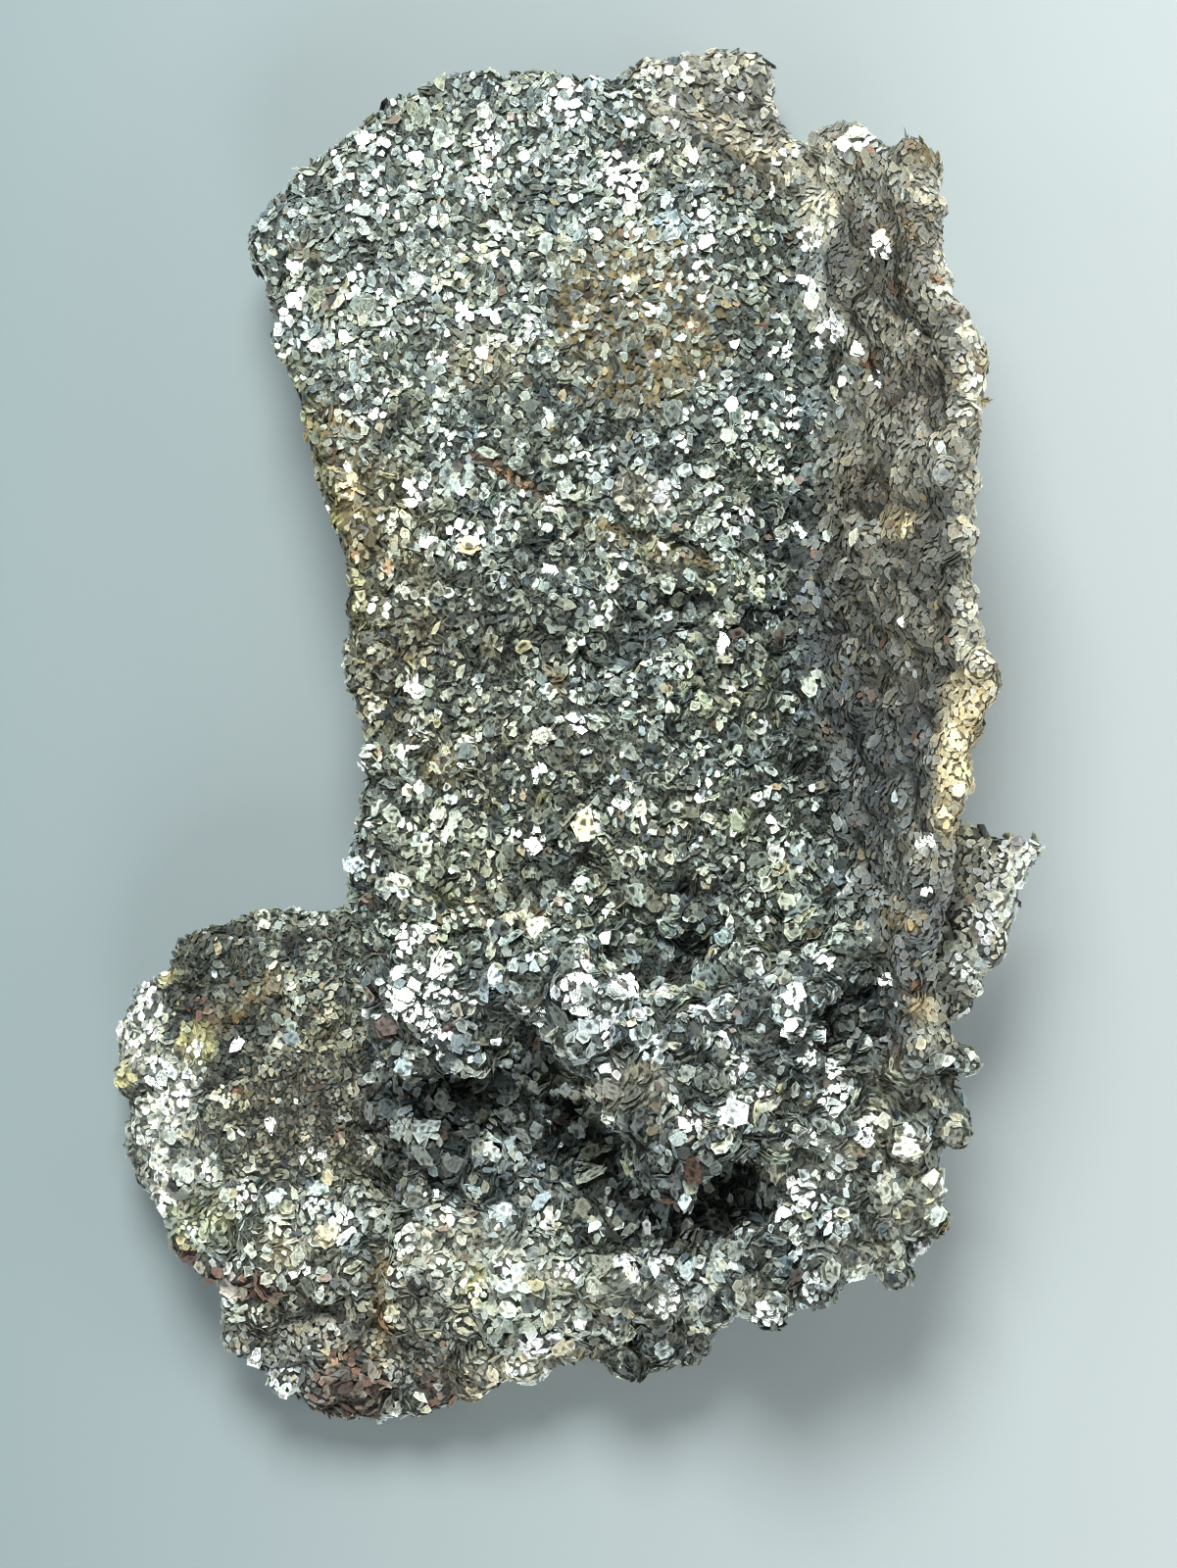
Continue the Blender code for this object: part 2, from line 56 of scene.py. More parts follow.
def linear(red, green, blue):
    # a colour as a paint program shows it, 0 to 255, to the light values that shaders use
    parts = [c / 255 for c in (red, green, blue)]
    return tuple(c / 12.92 if c < 0.04045 else ((c + 0.055) / 1.055) ** 2.4 for c in parts)


def smooth(low, high, value):
    # 0 under low, 1 over high and an eased step between
    t = np.clip((value - low) / (high - low), 0, 1)
    return t * t * (3 - 2 * t)


def unit(vectors):
    return vectors / np.maximum(np.linalg.norm(vectors, axis=-1, keepdims=True), 1e-9)


def addNode(nodes, kind, **values):
    # a shader node with its settings and its sockets' values, sockets named with _ for a space
    node = nodes.new("ShaderNode" + kind)
    for name, value in values.items():
        socket = node.inputs.get(name.replace("_", " "))
        if socket is None:
            setattr(node, name, value)
        else:
            socket.default_value = value
    return node


def feed(links, socket, value):
    # a socket takes a plain value, or a link from another node's socket
    if isinstance(value, (int, float, tuple)):
        socket.default_value = value
    else:
        links.new(value, socket)


def sums(nodes, links, operation, *values, **settings):
    # one step of arithmetic on sockets or plain numbers
    node = addNode(nodes, "Math", operation=operation, **settings)
    for socket, value in zip(node.inputs, values):
        feed(links, socket, value)
    return node.outputs["Value"]


def vectorSums(nodes, links, operation, *values):
    # the same on vectors; a dot product comes out as a number
    node = addNode(nodes, "VectorMath", operation=operation)
    for socket, value in zip(node.inputs, values):
        feed(links, socket, value)
    return node.outputs["Value" if operation == "DOT_PRODUCT" else "Vector"]


def mapped(nodes, links, value, fromMin, fromMax, toMin=0.0, toMax=1.0, soft=False):
    node = addNode(nodes, "MapRange", From_Min=fromMin, From_Max=fromMax, To_Min=toMin, To_Max=toMax)
    if soft:
        node.interpolation_type = "SMOOTHSTEP"
    links.new(value, node.inputs["Value"])
    return node.outputs["Result"]


def scaled(nodes, links, colour, amount):
    # a colour or a vector times a number
    node = addNode(nodes, "VectorMath", operation="SCALE")
    links.new(colour, node.inputs[0])
    feed(links, node.inputs["Scale"], amount)
    return node.outputs["Vector"]


def fade(nodes, links, space, axis, ends, colours):
    # a colour that changes evenly along one axis, between two places
    place = addNode(nodes, "TexCoord")
    split = addNode(nodes, "SeparateXYZ")
    ramp = addNode(nodes, "ValToRGB")
    links.new(place.outputs[space], split.inputs[0])
    links.new(mapped(nodes, links, split.outputs[axis], *ends), ramp.inputs["Fac"])
    for stop, colour in zip(ramp.color_ramp.elements, colours):
        stop.color = (*colour, 1)
    return ramp.outputs["Color"]


# studio: one big soft light from beyond the top of the plate, weak ones round it
studio = {
    "skyAbove": linear(74, 80, 82),        # what a scale that faces the camera mirrors
    "skyAround": linear(232, 237, 238),    # what a scale that leans mirrors
    "skyEnds": (0.25, 0.85),               # heights of that change: 0 the horizon, 1 straight up
    # painted light: the floor is painted darker on the left and lighter on the right
    "floorLeft": linear(151, 164, 167),
    "floorRight": linear(194, 200, 201),
    "floorEnds": (-0.035, 0.040),          # from where to where the floor changes, metres
    "floorWidth": 6.0,                     # metres
    "paperRoughness": 0.9,
    "lightColour": (0.95, 1.0, 0.985),
    "lights": {                            # direction each comes from, distance and width in metres
        "windowSide": {"from": (-0.10, 0.66, 0.75), "away": 0.62, "width": 0.30, "watts": 4.4},
        "leftSide": {"from": (-0.85, 0.05, 0.50), "away": 0.70, "width": 0.30, "watts": 0.35},
        "rightSide": {"from": (0.85, -0.20, 0.45), "away": 0.70, "width": 0.30, "watts": 0.60},
        "nearSide": {"from": (0.10, -0.85, 0.50), "away": 0.70, "width": 0.40, "watts": 1.50},
    },
}

# camera: straight above, with the upper end of the plate at the top of the picture
cameraLook = {
    "spot": (0.9, -2.8, 270.0),
    "halfHeight": 46.8,                    # half of what it sees at the plate's front
    "reach": 260.0,                        # from the camera to the plate's front
    "clipStart": 10.0,
    "pixelBlur": 1.25,                     # width of the pixel filter; more blurs the finest flakes
}


def makeSky(scene):
    world = bpy.data.worlds.new("studio")
    scene.world = world
    world.use_nodes = True
    nodes, links = world.node_tree.nodes, world.node_tree.links
    colours = (studio["skyAround"], studio["skyAbove"])
    sky = fade(nodes, links, "Generated", "Z", studio["skyEnds"], colours)
    links.new(sky, nodes["Background"].inputs["Color"])


def makeLights(scene):
    for name, light in studio["lights"].items():
        lamp = bpy.data.lights.new(name, "AREA")
        lamp.shape = "DISK"
        lamp.size = light["width"]
        lamp.energy = light["watts"]
        lamp.color = studio["lightColour"]
        holder = bpy.data.objects.new(name, lamp)
        outward = Vector(light["from"]).normalized()
        holder.location = outward * light["away"]
        holder.rotation_euler = outward.to_track_quat("Z", "Y").to_euler()
        scene.collection.objects.link(holder)


def makeFloor(scene):
    mesh = bpy.data.meshes.new("floor")
    shape = bmesh.new()
    bmesh.ops.create_circle(shape, cap_ends=True, segments=64, radius=studio["floorWidth"] / 2)
    shape.to_mesh(mesh)
    shape.free()
    floor = bpy.data.objects.new("floor", mesh)
    scene.collection.objects.link(floor)
    paper = bpy.data.materials.new("palePaper")
    paper.use_nodes = True
    nodes, links = paper.node_tree.nodes, paper.node_tree.links
    shader = nodes["Principled BSDF"]
    shader.inputs["Roughness"].default_value = studio["paperRoughness"]
    # painted light: the floor's colour darkens to the left and lightens to the right
    colours = (studio["floorLeft"], studio["floorRight"])
    links.new(fade(nodes, links, "Object", "X", studio["floorEnds"], colours), shader.inputs["Base Color"])
    mesh.materials.append(paper)


def makeCamera(scene):
    lens = bpy.data.cameras.new("camera")
    camera = bpy.data.objects.new("camera", lens)
    camera.location = Vector(cameraLook["spot"]) * mm
    lens.sensor_fit = "VERTICAL"
    lens.angle = 2 * math.atan(cameraLook["halfHeight"] / cameraLook["reach"])
    lens.clip_start = cameraLook["clipStart"] * mm
    scene.collection.objects.link(camera)
    scene.camera = camera
    scene.view_settings.view_transform = "Standard"
    scene.cycles.filter_width = cameraLook["pixelBlur"]
    scene.cycles.denoising_prefilter = "NONE"    # keeps the finest flakes


def makeStudio(scene):
    makeSky(scene)
    makeLights(scene)
    makeFloor(scene)
    makeCamera(scene)


makeStudio(bpy.context.scene)
print("studio ready")


# where things are: the line where the standing wall meets the main plate, as x for each y
wallFoot = {
    "y": (-19.2, -14.5, -8.7, -2.8, 3.0, 7.7, 11.2, 15.9, 20.6, 24.7, 33.8),
    "x": (19.0, 18.4, 16.7, 15.5, 14.3, 13.2, 13.7, 14.9, 16.7, 15.5, 13.2),
}

# borders of the zones: a place along x, y or, for the last one, z, and how soft the change is
zoneBorders = {
    "finLeft": (23.2, 0.5),
    "finTop": (-5, 0.5),
    "finEnd": (-18, 0.5),
    "wallEnd": (-19, 1),
    "wingRight": (-12.6, 0.6),
    "wingTop": (-10, 1),
    "lowerEdge": (-27, 1),
    "wingFootRight": (1, 3),
    "lumpsTop": (-13.5, 1.2),
    "plateFootTop": (-3, 2.5),
    "plateTopFrom": (17, 9),
    "frontHeight": (9, 0.6),
}

# how the scales grow in each part of the crust
#   size: across a scale; spread: how far single scales lean, degrees; edgeOn: share of scales
#   that stand; clump: how far a whole clump leans; fan: how far its scales lean out from its
#   middle; rose: share of clumps that open like a flower; flash: share of scales that mirror
#   the window; gather: the same in the bright clumps; clumpSize and dome: a clump's reach and
#   height; hollowShade: painted light and shade, how much lighter a clump's middle and darker
#   the hollow between clumps are painted; back: lean toward the window; dull: share with
#   little shine; slate: share of dark ones; uneven: how single scales differ in lightness;
#   pits: how strongly the painted dark pits and pale threads show; tint: colour
zoneLooks = {
    "plateTop":    {"size": 0.50, "spread": 15, "edgeOn": 0.14, "clump": 18, "fan": 0.45,
                    "rose": 0.00, "flash": 0.014, "gather": 0.55, "clumpSize": 0.85, "dome": 0.16,
                    "hollowShade": 0.45, "back": 0.03, "dull": 0.35, "slate": 0.05, "uneven": 0.13,
                    "pits": 0.5, "tint": linear(176, 186, 175)},
    "plateMiddle": {"size": 0.56, "spread": 15, "edgeOn": 0.20, "clump": 27, "fan": 0.90,
                    "rose": 0.10, "flash": 0.003, "gather": 0.45, "clumpSize": 1.1, "dome": 0.38,
                    "hollowShade": 0.90, "back": 0.00, "dull": 0.45, "slate": 0.10, "uneven": 0.13,
                    "pits": 1.1, "tint": linear(192, 202, 188)},
    "plateFoot":   {"size": 0.58, "spread": 15, "edgeOn": 0.20, "clump": 28, "fan": 0.90,
                    "rose": 0.15, "flash": 0.003, "gather": 0.40, "clumpSize": 1.2, "dome": 0.42,
                    "hollowShade": 0.90, "back": 0.00, "dull": 0.45, "slate": 0.10, "uneven": 0.12,
                    "pits": 1.1, "tint": linear(188, 198, 185)},
    "lumps":       {"size": 0.64, "spread": 14, "edgeOn": 0.20, "clump": 32, "fan": 0.90,
                    "rose": 0.20, "flash": 0.003, "gather": 0.85, "clumpSize": 1.8, "dome": 0.68,
                    "hollowShade": 1.10, "back": 0.04, "dull": 0.55, "slate": 0.12, "uneven": 0.14,
                    "pits": 0.9, "tint": linear(206, 214, 205)},
    "wall":        {"size": 0.46, "spread": 9, "edgeOn": 0.04, "clump": 14, "fan": 0.40,
                    "rose": 0.05, "flash": 0.001, "gather": 0.50, "clumpSize": 1.2, "dome": 0.34,
                    "hollowShade": 0.25, "back": 0.00, "dull": 0.95, "slate": 0.01, "uneven": 0.05,
                    "pits": 0.2, "tint": linear(161, 160, 149)},
    "wing":        {"size": 0.40, "spread": 14, "edgeOn": 0.18, "clump": 22, "fan": 0.60,
                    "rose": 0.05, "flash": 0.003, "gather": 0.35, "clumpSize": 1.2, "dome": 0.30,
                    "hollowShade": 0.70, "back": 0.00, "dull": 0.70, "slate": 0.08, "uneven": 0.09,
                    "pits": 0.7, "tint": linear(166, 168, 149)},
    "wingFoot":    {"size": 0.54, "spread": 13, "edgeOn": 0.18, "clump": 24, "fan": 0.80,
                    "rose": 0.12, "flash": 0.003, "gather": 0.45, "clumpSize": 1.7, "dome": 0.52,
                    "hollowShade": 0.65, "back": 0.05, "dull": 0.80, "slate": 0.04, "uneven": 0.09,
                    "pits": 0.7, "tint": linear(209, 216, 206)},
    "fin":         {"size": 0.46, "spread": 12, "edgeOn": 0.04, "clump": 16, "fan": 0.30,
                    "rose": 0.00, "flash": 0.008, "gather": 0.80, "clumpSize": 1.3, "dome": 0.22,
                    "hollowShade": 0.40, "back": 0.05, "dull": 0.80, "slate": 0.02, "uneven": 0.10,
                    "pits": 0.4, "tint": linear(246, 244, 228)},
    "back":        {"size": 0.70, "spread": 20, "edgeOn": 0.20, "clump": 26, "fan": 0.60,
                    "rose": 0.10, "flash": 0.000, "gather": 0.00, "clumpSize": 1.8, "dome": 0.50,
                    "hollowShade": 0.60, "back": 0.00, "dull": 0.50, "slate": 0.14, "uneven": 0.16,
                    "pits": 0.8, "tint": linear(186, 190, 174)},
}
zoneNames = list(zoneLooks)


def past(value, border):
    # 0 before a border and 1 past it
    place, soft = zoneBorders[border]
    return smooth(-soft, soft, value - place)


def before(value, border):
    place, soft = zoneBorders[border]
    return smooth(soft, -soft, value - place)


def zoneShares(points, normals):
    # how much each zone has to say at each point, rows of shares that add up to 1
    x, y, z = points.T
    foot = np.interp(y, wallFoot["y"], wallFoot["x"])
    facesDown = smooth(-0.15, -0.5, normals[:, 2])
    lowSide = smooth(0.10, -0.30, normals[:, 2]) * before(z, "frontHeight")
    shares = {"back": np.maximum(lowSide, facesDown)}
    left = 1 - shares["back"]
    for name, part in (
        ("fin", past(x, "finLeft") * before(y, "finTop") * past(y, "finEnd")),
        ("wall", smooth(-0.8, 0.8, x - foot) * past(y, "wallEnd")),
        ("wing", before(x, "wingRight") * before(y, "wingTop") * past(y, "lowerEdge")),
        ("wingFoot", before(x, "wingFootRight") * before(y, "lowerEdge")),
        ("lumps", before(y, "lumpsTop")),
        ("plateFoot", before(y, "plateFootTop")),
        ("plateTop", past(y, "plateTopFrom")),
    ):
        shares[name] = left * part
        left = left * (1 - part)
    shares["plateMiddle"] = left
    return np.stack([shares[name] for name in zoneNames], axis=1)


def frontShare(shares):
    return 1 - shares[:, zoneNames.index("back")]


def zoneValue(shares, key):
    values = np.array([zoneLooks[name][key] for name in zoneNames], float)
    return shares @ values


# marks on the front. Each place is a reach and then the points of a line, as x and y.
#   wash: how far the tint covers scales and ground there; share: scales that take it whole;
#   stain: how far it colours the ground between them; dull: shine that is lost;
#   size: of the scales there, as a share; calm: lean that is lost;
#   bare: share of scales left out; deep: how far the crust is cut down
markFade = (1.15, 0.55)    # where a mark has faded out and where it is whole, as shares of its reach
marks = {
    # painted shade: darker colour where shade falls, in the valley, the cave under the ridge, under
    # overhangs and along shaded edges
    "shade": {
        "tint": linear(92, 100, 101), "wash": 0.54, "dull": 0.2,
        "places": (
            (2.6, (13.2, 33.8), (15.5, 24.7), (16.7, 20.6), (14.9, 15.9)),
            (4.5, (10.5, 25.5)), (2.0, (-2.3, 32.3)), (1.0, (-10.4, 19.4)),
            (3.4, (17.6, -9.0), (18.6, -15.0)), (2.4, (19.6, -11.0)),
            (1.8, (6.1, 7.1)), (1.3, (-5.3, -1.8)), (2.0, (7.6, -8.8)),
            (3.0, (16.2, -17.6), (17.3, -19.8)), (1.6, (11.6, -19.0)),
            (5.2, (-9.4, -20.6), (-4.0, -23.4), (3.0, -26.0)), (3.0, (-9.6, -26.0)),
            (2.6, (-14.0, -34.7)), (1.6, (-9.1, -34.7)), (1.6, (1.2, -29.8), (5.0, -29.4)),
            (1.6, (-12.4, 3.4)), (1.8, (-11.4, -7.6)), (3.2, (0.0, 20.6), (5.0, 18.0)),
            (2.6, (1.0, 25.6)), (2.4, (-9.0, 6.0), (3.0, 5.6)), (1.6, (6.5, -13.4), (10.0, -15.6)),
            (1.5, (0.9, -19.2)), (1.8, (-0.4, -27.6)), (1.6, (9.6, -33.4)),
        ),
    },
    # painted shade, darker still, in the valley where the standing wall meets the plate
    "valleyShade": {
        "tint": linear(64, 73, 79), "wash": 0.72, "dull": 0.2,
        "places": (
            (4.6, (15.6, 12.0), (16.4, 4.0), (17.0, -3.0)), (4.2, (19.2, 10.5), (18.8, -1.5)),
        ),
    },
    "veil": {
        "tint": linear(140, 128, 94), "wash": 0.24, "stain": 0.15, "dull": 0.15,
        "places": (
            (5.5, (-13.0, 16.0), (-10.0, 4.0)), (6.0, (-6.0, 8.0), (-6.0, -6.0)),
            (4.0, (14.0, 34.0), (6.0, 36.0)), (5.0, (-2.0, -3.0), (6.0, -6.0)),
            (6.0, (-16.0, -22.0), (-12.0, -34.0)), (4.0, (18.0, 24.0), (18.6, 6.0)),
        ),
    },
    "wallDust": {
        "tint": linear(150, 146, 132), "wash": 0.12, "stain": 0.55, "dull": 0.1,
        "places": (
            (5.0, (17.5, 33.0), (19.0, 24.0), (20.0, 16.0)), (3.6, (20.6, 10.0), (21.0, -4.0)),
        ),
    },
    "honey": {
        "tint": linear(158, 138, 88), "wash": 0.34, "stain": 0.4, "dull": 0.2,
        "places": (
            (3.6, (-11.6, 13.6), (-11.0, 6.4)), (2.8, (-5.6, 22.6)), (2.0, (-11.4, 1.8)),
        ),
    },
    "slateField": {
        "tint": linear(62, 68, 60), "wash": 0.80, "dull": 0.35,
        "places": (
            (2.6, (-21.3, -13.4)), (1.7, (-24.6, -17.0), (-23.1, -16.0)), (1.3, (-16.8, -12.6)),
            (1.9, (-21.6, -20.0), (-19.8, -17.9)), (1.2, (-26.4, -28.6), (-23.6, -31.4)),
        ),
    },
    # painted highlight: some scales in the cave are painted pale and made larger, as if they caught the
    # light
    "paintedGlimmer": {
        "tint": linear(176, 184, 176), "wash": 0.0, "share": 0.24, "dull": 0.3, "size": 1.15,
        "places": (
            (5.4, (-9.4, -20.6), (-4.0, -23.4), (3.0, -26.0)),
        ),
    },
    # painted shade in narrow gaps: a near-black tint, beside the real cut where scales are left out and the
    # crust is cut down
    "shadedGap": {
        "tint": linear(34, 38, 41), "wash": 0.58, "dull": 0.5, "bare": 0.12, "deep": 0.28,
        "places": (
            (0.8, (3.6, 7.5), (5.2, 8.2), (8.4, 8.1)), (0.7, (9.1, 6.2), (10.0, 6.4), (11.6, 7.3)),
            (0.5, (0.9, 3.5), (2.6, 2.9)), (0.8, (-4.9, -5.8), (-3.0, -6.7), (-0.7, -8.4)),
            (0.8, (2.6, -12.5), (4.4, -13.0), (6.7, -13.6)), (0.7, (6.7, -9.1)),
            (0.5, (8.4, -9.7)), (0.6, (9.4, -8.4)), (1.3, (-2.2, -18.3)),
            (0.8, (-9.6, -20.7), (-5.3, -21.4)), (0.9, (10.9, -16.9), (12.0, -17.9)),
            (1.1, (11.6, -19.0)), (0.8, (11.5, -20.0)), (1.5, (16.3, -17.5)), (1.7, (9.1, -27.5)),
            (0.8, (3.2, -28.5), (7.6, -28.8)), (0.5, (-23.4, -33.6), (-22.0, -33.6)),
            (0.5, (-20.9, -17.6), (-19.6, -16.4)), (0.45, (-26.3, -21.8)),
        ),
    },
    # the grooves' dark brown is partly their own stain and partly painted shade in the groove
    "groove": {
        "tint": linear(70, 66, 48), "wash": 0.5, "dull": 0.6, "deep": 0.35, "size": 0.8,
        "places": (
            (0.45, (-6.0, 17.0), (-3.5, 15.6), (-1.4, 14.4)),
            (0.5, (0.9, 13.0), (3.7, 12.2), (6.2, 11.5), (8.1, 10.5)),
            (0.4, (-12.3, -10.4), (-9.6, -11.0)), (0.4, (4.3, 13.9), (9.8, 13.2)),
        ),
    },
    "rust": {
        "tint": linear(116, 78, 44), "wash": 0.35, "share": 0.5, "stain": 0.7, "dull": 0.9,
        "places": (
            (0.42, (-6.0, 16.7), (-4.7, 16.1), (-3.5, 15.4), (-1.4, 14.2)),
            (0.7, (22.3, 24.5)), (0.6, (17.7, 22.2)), (0.4, (20.9, 26.3)), (0.5, (19.2, 26.1)),
            (0.6, (18.9, -18.9)), (0.5, (20.0, -14.6)), (0.7, (7.1, 24.8)),
            (0.5, (-12.3, -9.8)), (0.4, (-20.2, -21.2)), (0.4, (-12.0, -32.4), (-11.6, -36.6)),
            (0.5, (-1.4, 4.0)), (0.4, (2.5, 30.4)),
        ),
    },
    "ochre": {
        "tint": linear(152, 132, 88), "wash": 0.20, "share": 0.18, "stain": 0.8, "dull": 0.6,
        "places": (
            (6.0, (3.8, 24.7)), (1.2, (20.5, 34.0)), (1.2, (18.9, 29.3)), (1.2, (-16.3, 29.1)),
            (0.8, (-0.8, 3.1)), (0.9, (-5.5, -10.0)), (1.2, (-2.4, -11.1)), (0.7, (11.8, -21.1)),
            (0.8, (-18.3, -14.6), (-21.8, -17.5)), (0.8, (-11.8, -31.8), (-11.5, -37.6)),
            (3.0, (-15.4, 17.8), (-14.4, 12.0)), (1.4, (-7.9, -1.8)), (1.0, (19.4, -10.6)),
            (0.8, (0.9, 12.6), (8.1, 10.1)), (1.2, (-18.0, -30.8)), (0.9, (5.6, 38.2)),
        ),
    },
    "olive": {
        "tint": linear(168, 168, 118), "wash": 0.50, "stain": 0.6, "dull": 0.6,
        "places": (
            (1.3, (-13.3, 9.1)), (1.0, (-13.9, 10.5)), (0.7, (-11.8, 8.0)), (0.9, (-13.4, 7.5)),
            (1.0, (9.8, -5.0)), (0.9, (-7.6, -9.4)), (1.2, (18.9, -20.0), (18.4, -24.0)),
            (0.8, (-1.6, -20.4)), (2.6, (-22.6, -29.0)), (1.8, (-17.6, 22.0), (-15.0, 12.0)),
        ),
    },
    "frost": {
        "tint": linear(216, 217, 198), "wash": 0.70, "stain": 0.5, "dull": 0.7,
        "places": (
            (2.6, (20.0, -21.0), (19.6, -27.6)), (2.2, (17.4, -31.0)), (1.6, (11.0, -33.4)),
            (1.3, (21.0, -17.6)), (1.6, (3.0, -33.4), (6.6, -35.4)), (1.8, (12.4, -25.4), (15.6, -25.2)),
            (1.6, (-9.0, -30.4), (-4.6, -30.6)), (1.2, (-16.2, -30.4)), (1.2, (17.6, -30.4)),
            (2.2, (-3.0, -33.6), (1.4, -33.4)), (2.6, (20.8, -22.4), (20.8, -26.4)),
            (1.6, (0.6, -22.2), (4.4, -20.4)),
        ),
    },
    "cream": {
        "tint": linear(222, 206, 168), "wash": 0.85, "stain": 0.6, "dull": 0.85,
        "places": (
            (1.2, (8.5, 37.1), (10.5, 35.8), (12.3, 34.3)), (1.7, (22.8, 2.2), (22.2, -4.6)),
            (1.8, (24.2, 21.4)), (1.1, (19.0, 12.4)), (1.3, (23.2, 8.4)), (1.0, (20.4, -15.9)),
        ),
    },
    # pale edges: partly their own pale broken rims, partly painted highlight along the lit outline
    "paleRim": {
        "tint": linear(220, 216, 196), "wash": 0.85, "stain": 0.5, "dull": 0.85,
        "places": (
            (1.6, (21.4, 31.4), (22.3, 27.2), (23.6, 23.0)),
            (1.9, (23.8, 20.0), (24.0, 14.5), (23.6, 5.5)), (1.2, (12.6, 34.3), (12.4, 40.6)),
            (1.4, (3.4, 14.6), (4.6, 14.2)), (1.3, (-19.6, 24.0), (-16.6, 14.6), (-14.8, 6.4)),
            (1.2, (14.6, 30.6), (15.2, 34.4)), (1.5, (-8.5, -39.1), (0.3, -37.9)),
            (1.1, (3.8, 41.0), (11.5, 41.8)),
        ),
    },
    "paleRosette": {
        "tint": linear(198, 207, 192), "wash": 0.60, "dull": 0.6, "size": 1.6, "calm": 0.45,
        "places": (
            (1.0, (-10.6, -4.9)), (1.0, (-7.5, -4.9)), (0.9, (-5.1, -5.3)), (0.8, (-3.9, -5.7)),
            (0.9, (-1.4, -5.1)), (0.9, (0.6, -5.4)), (1.1, (-10.8, -8.5)), (1.2, (-4.3, -12.1)),
            (1.3, (-7.1, 15.2)), (1.1, (4.0, -9.6)), (1.0, (0.3, -15.1)), (0.8, (7.4, -14.7)),
            (0.9, (-1.0, -17.0)), (0.8, (14.7, 3.3)), (0.7, (2.3, 4.3)),
            (0.7, (-17.3, -26.0)), (0.8, (-15.4, -26.8)), (0.7, (-19.4, -26.6)), (0.7, (-17.4, -28.0)),
            (0.9, (-14.4, -29.2)), (2.6, (-3.2, -34.7)), (1.0, (-10.6, -29.4)), (0.9, (7.0, -25.8)),
            (1.0, (-17.8, -17.6)), (0.7, (13.1, -9.9)), (1.0, (12.4, -30.6)), (1.0, (1.4, -26.4)),
        ),
    },
    "silverPatch": {
        "tint": linear(228, 231, 216), "wash": 0.82, "stain": 0.4, "dull": 0.75,
        "size": 1.2, "calm": 0.45,
        "places": (
            (2.0, (-26.5, -16.6), (-27.2, -19.4)), (2.0, (-24.3, -20.8)),
            (2.5, (-24.8, -23.6), (-23.8, -25.8)), (1.1, (28.2, -6.4), (25.3, -10.5)),
            (1.7, (23.4, -13.6)), (0.9, (14.3, 26.4), (15.6, 24.4)), (0.7, (16.0, 34.8), (17.3, 35.5)),
        ),
    },
    "yellow": {
        "tint": linear(240, 234, 176), "wash": 0.85, "stain": 0.5, "dull": 0.7,
        "places": (
            (1.5, (-22.8, -18.4)), (0.8, (-27.4, -20.6)), (0.7, (-24.6, -14.3)), (0.9, (-6.1, -32.6)),
        ),
    },
    "redBrown": {
        "tint": linear(128, 88, 72), "wash": 0.55, "share": 0.5, "dull": 0.7, "size": 1.4,
        "places": (
            (1.0, (-24.3, -31.5), (-21.6, -32.9), (-18.5, -33.5)), (0.8, (-22.6, -16.4)),
            (2.8, (-13.7, -39.7)), (1.3, (-8.4, -39.8)), (0.6, (5.8, -27.3)), (0.5, (7.5, -25.3)),
            (0.6, (-11.8, -15.4)), (0.6, (-10.9, -17.4)), (0.6, (-7.4, -17.3)), (0.6, (2.1, -21.0)),
            (0.5, (-14.4, -24.0)), (0.5, (9.3, 4.4)),
        ),
    },
    "greyTab": {
        "tint": linear(151, 148, 135), "wash": 0.80, "stain": 0.6, "dull": 0.85,
        "places": (
            (3.4, (7.4, 38.4), (11.0, 38.2)),
        ),
    },
    "brownGrain": {
        "tint": linear(104, 94, 80), "wash": 0.48, "share": 0.2, "dull": 0.5, "size": 0.8,
        "places": (
            (4.2, (-16.6, -22.6)), (3.0, (19.0, 29.0)), (2.6, (20.0, 20.5)), (2.0, (17.2, 14.8)),
            (1.6, (-12.5, -24.8)), (1.6, (10.6, 33.6)),
            (3.0, (-18.6, -37.0), (-8.0, -38.4)),
        ),
    },
}


def fromLine(points, line):
    # how far each point is, seen from above, from a line through places given as x and y
    flat = points[:, :2]
    ends = np.array(line, float)
    if len(ends) == 1:
        return np.hypot(flat[:, 0] - ends[0, 0], flat[:, 1] - ends[0, 1])
    best = np.full(len(points), 1e9)
    for a, b in zip(ends[:-1], ends[1:]):
        along = np.clip(((flat - a) @ (b - a)) / ((b - a) @ (b - a)), 0, 1)
        off = flat - (a + along[:, None] * (b - a))
        best = np.minimum(best, np.hypot(off[:, 0], off[:, 1]))
    return best


def marked(points, front, kind):
    # 1 on the places of a mark, falling to 0 about their reach, and only on the front
    gone, whole = markFade
    best = np.zeros(len(points))
    for reach, *line in marks[kind]["places"]:
        best = np.maximum(best, smooth(reach * gone, reach * whole, fromLine(points, line)))
    return best * front


def markValue(points, front, key):
    # the strongest value of one key where marks are, and 0 elsewhere
    value = np.zeros(len(points))
    for kind, look in marks.items():
        if key in look:
            value = np.maximum(value, look[key] * marked(points, front, kind))
    return value


def meshPoints(mesh, what):
    data = np.empty(len(mesh.vertices) * 3)
    mesh.vertices.foreach_get(what, data)
    return data.reshape(-1, 3)


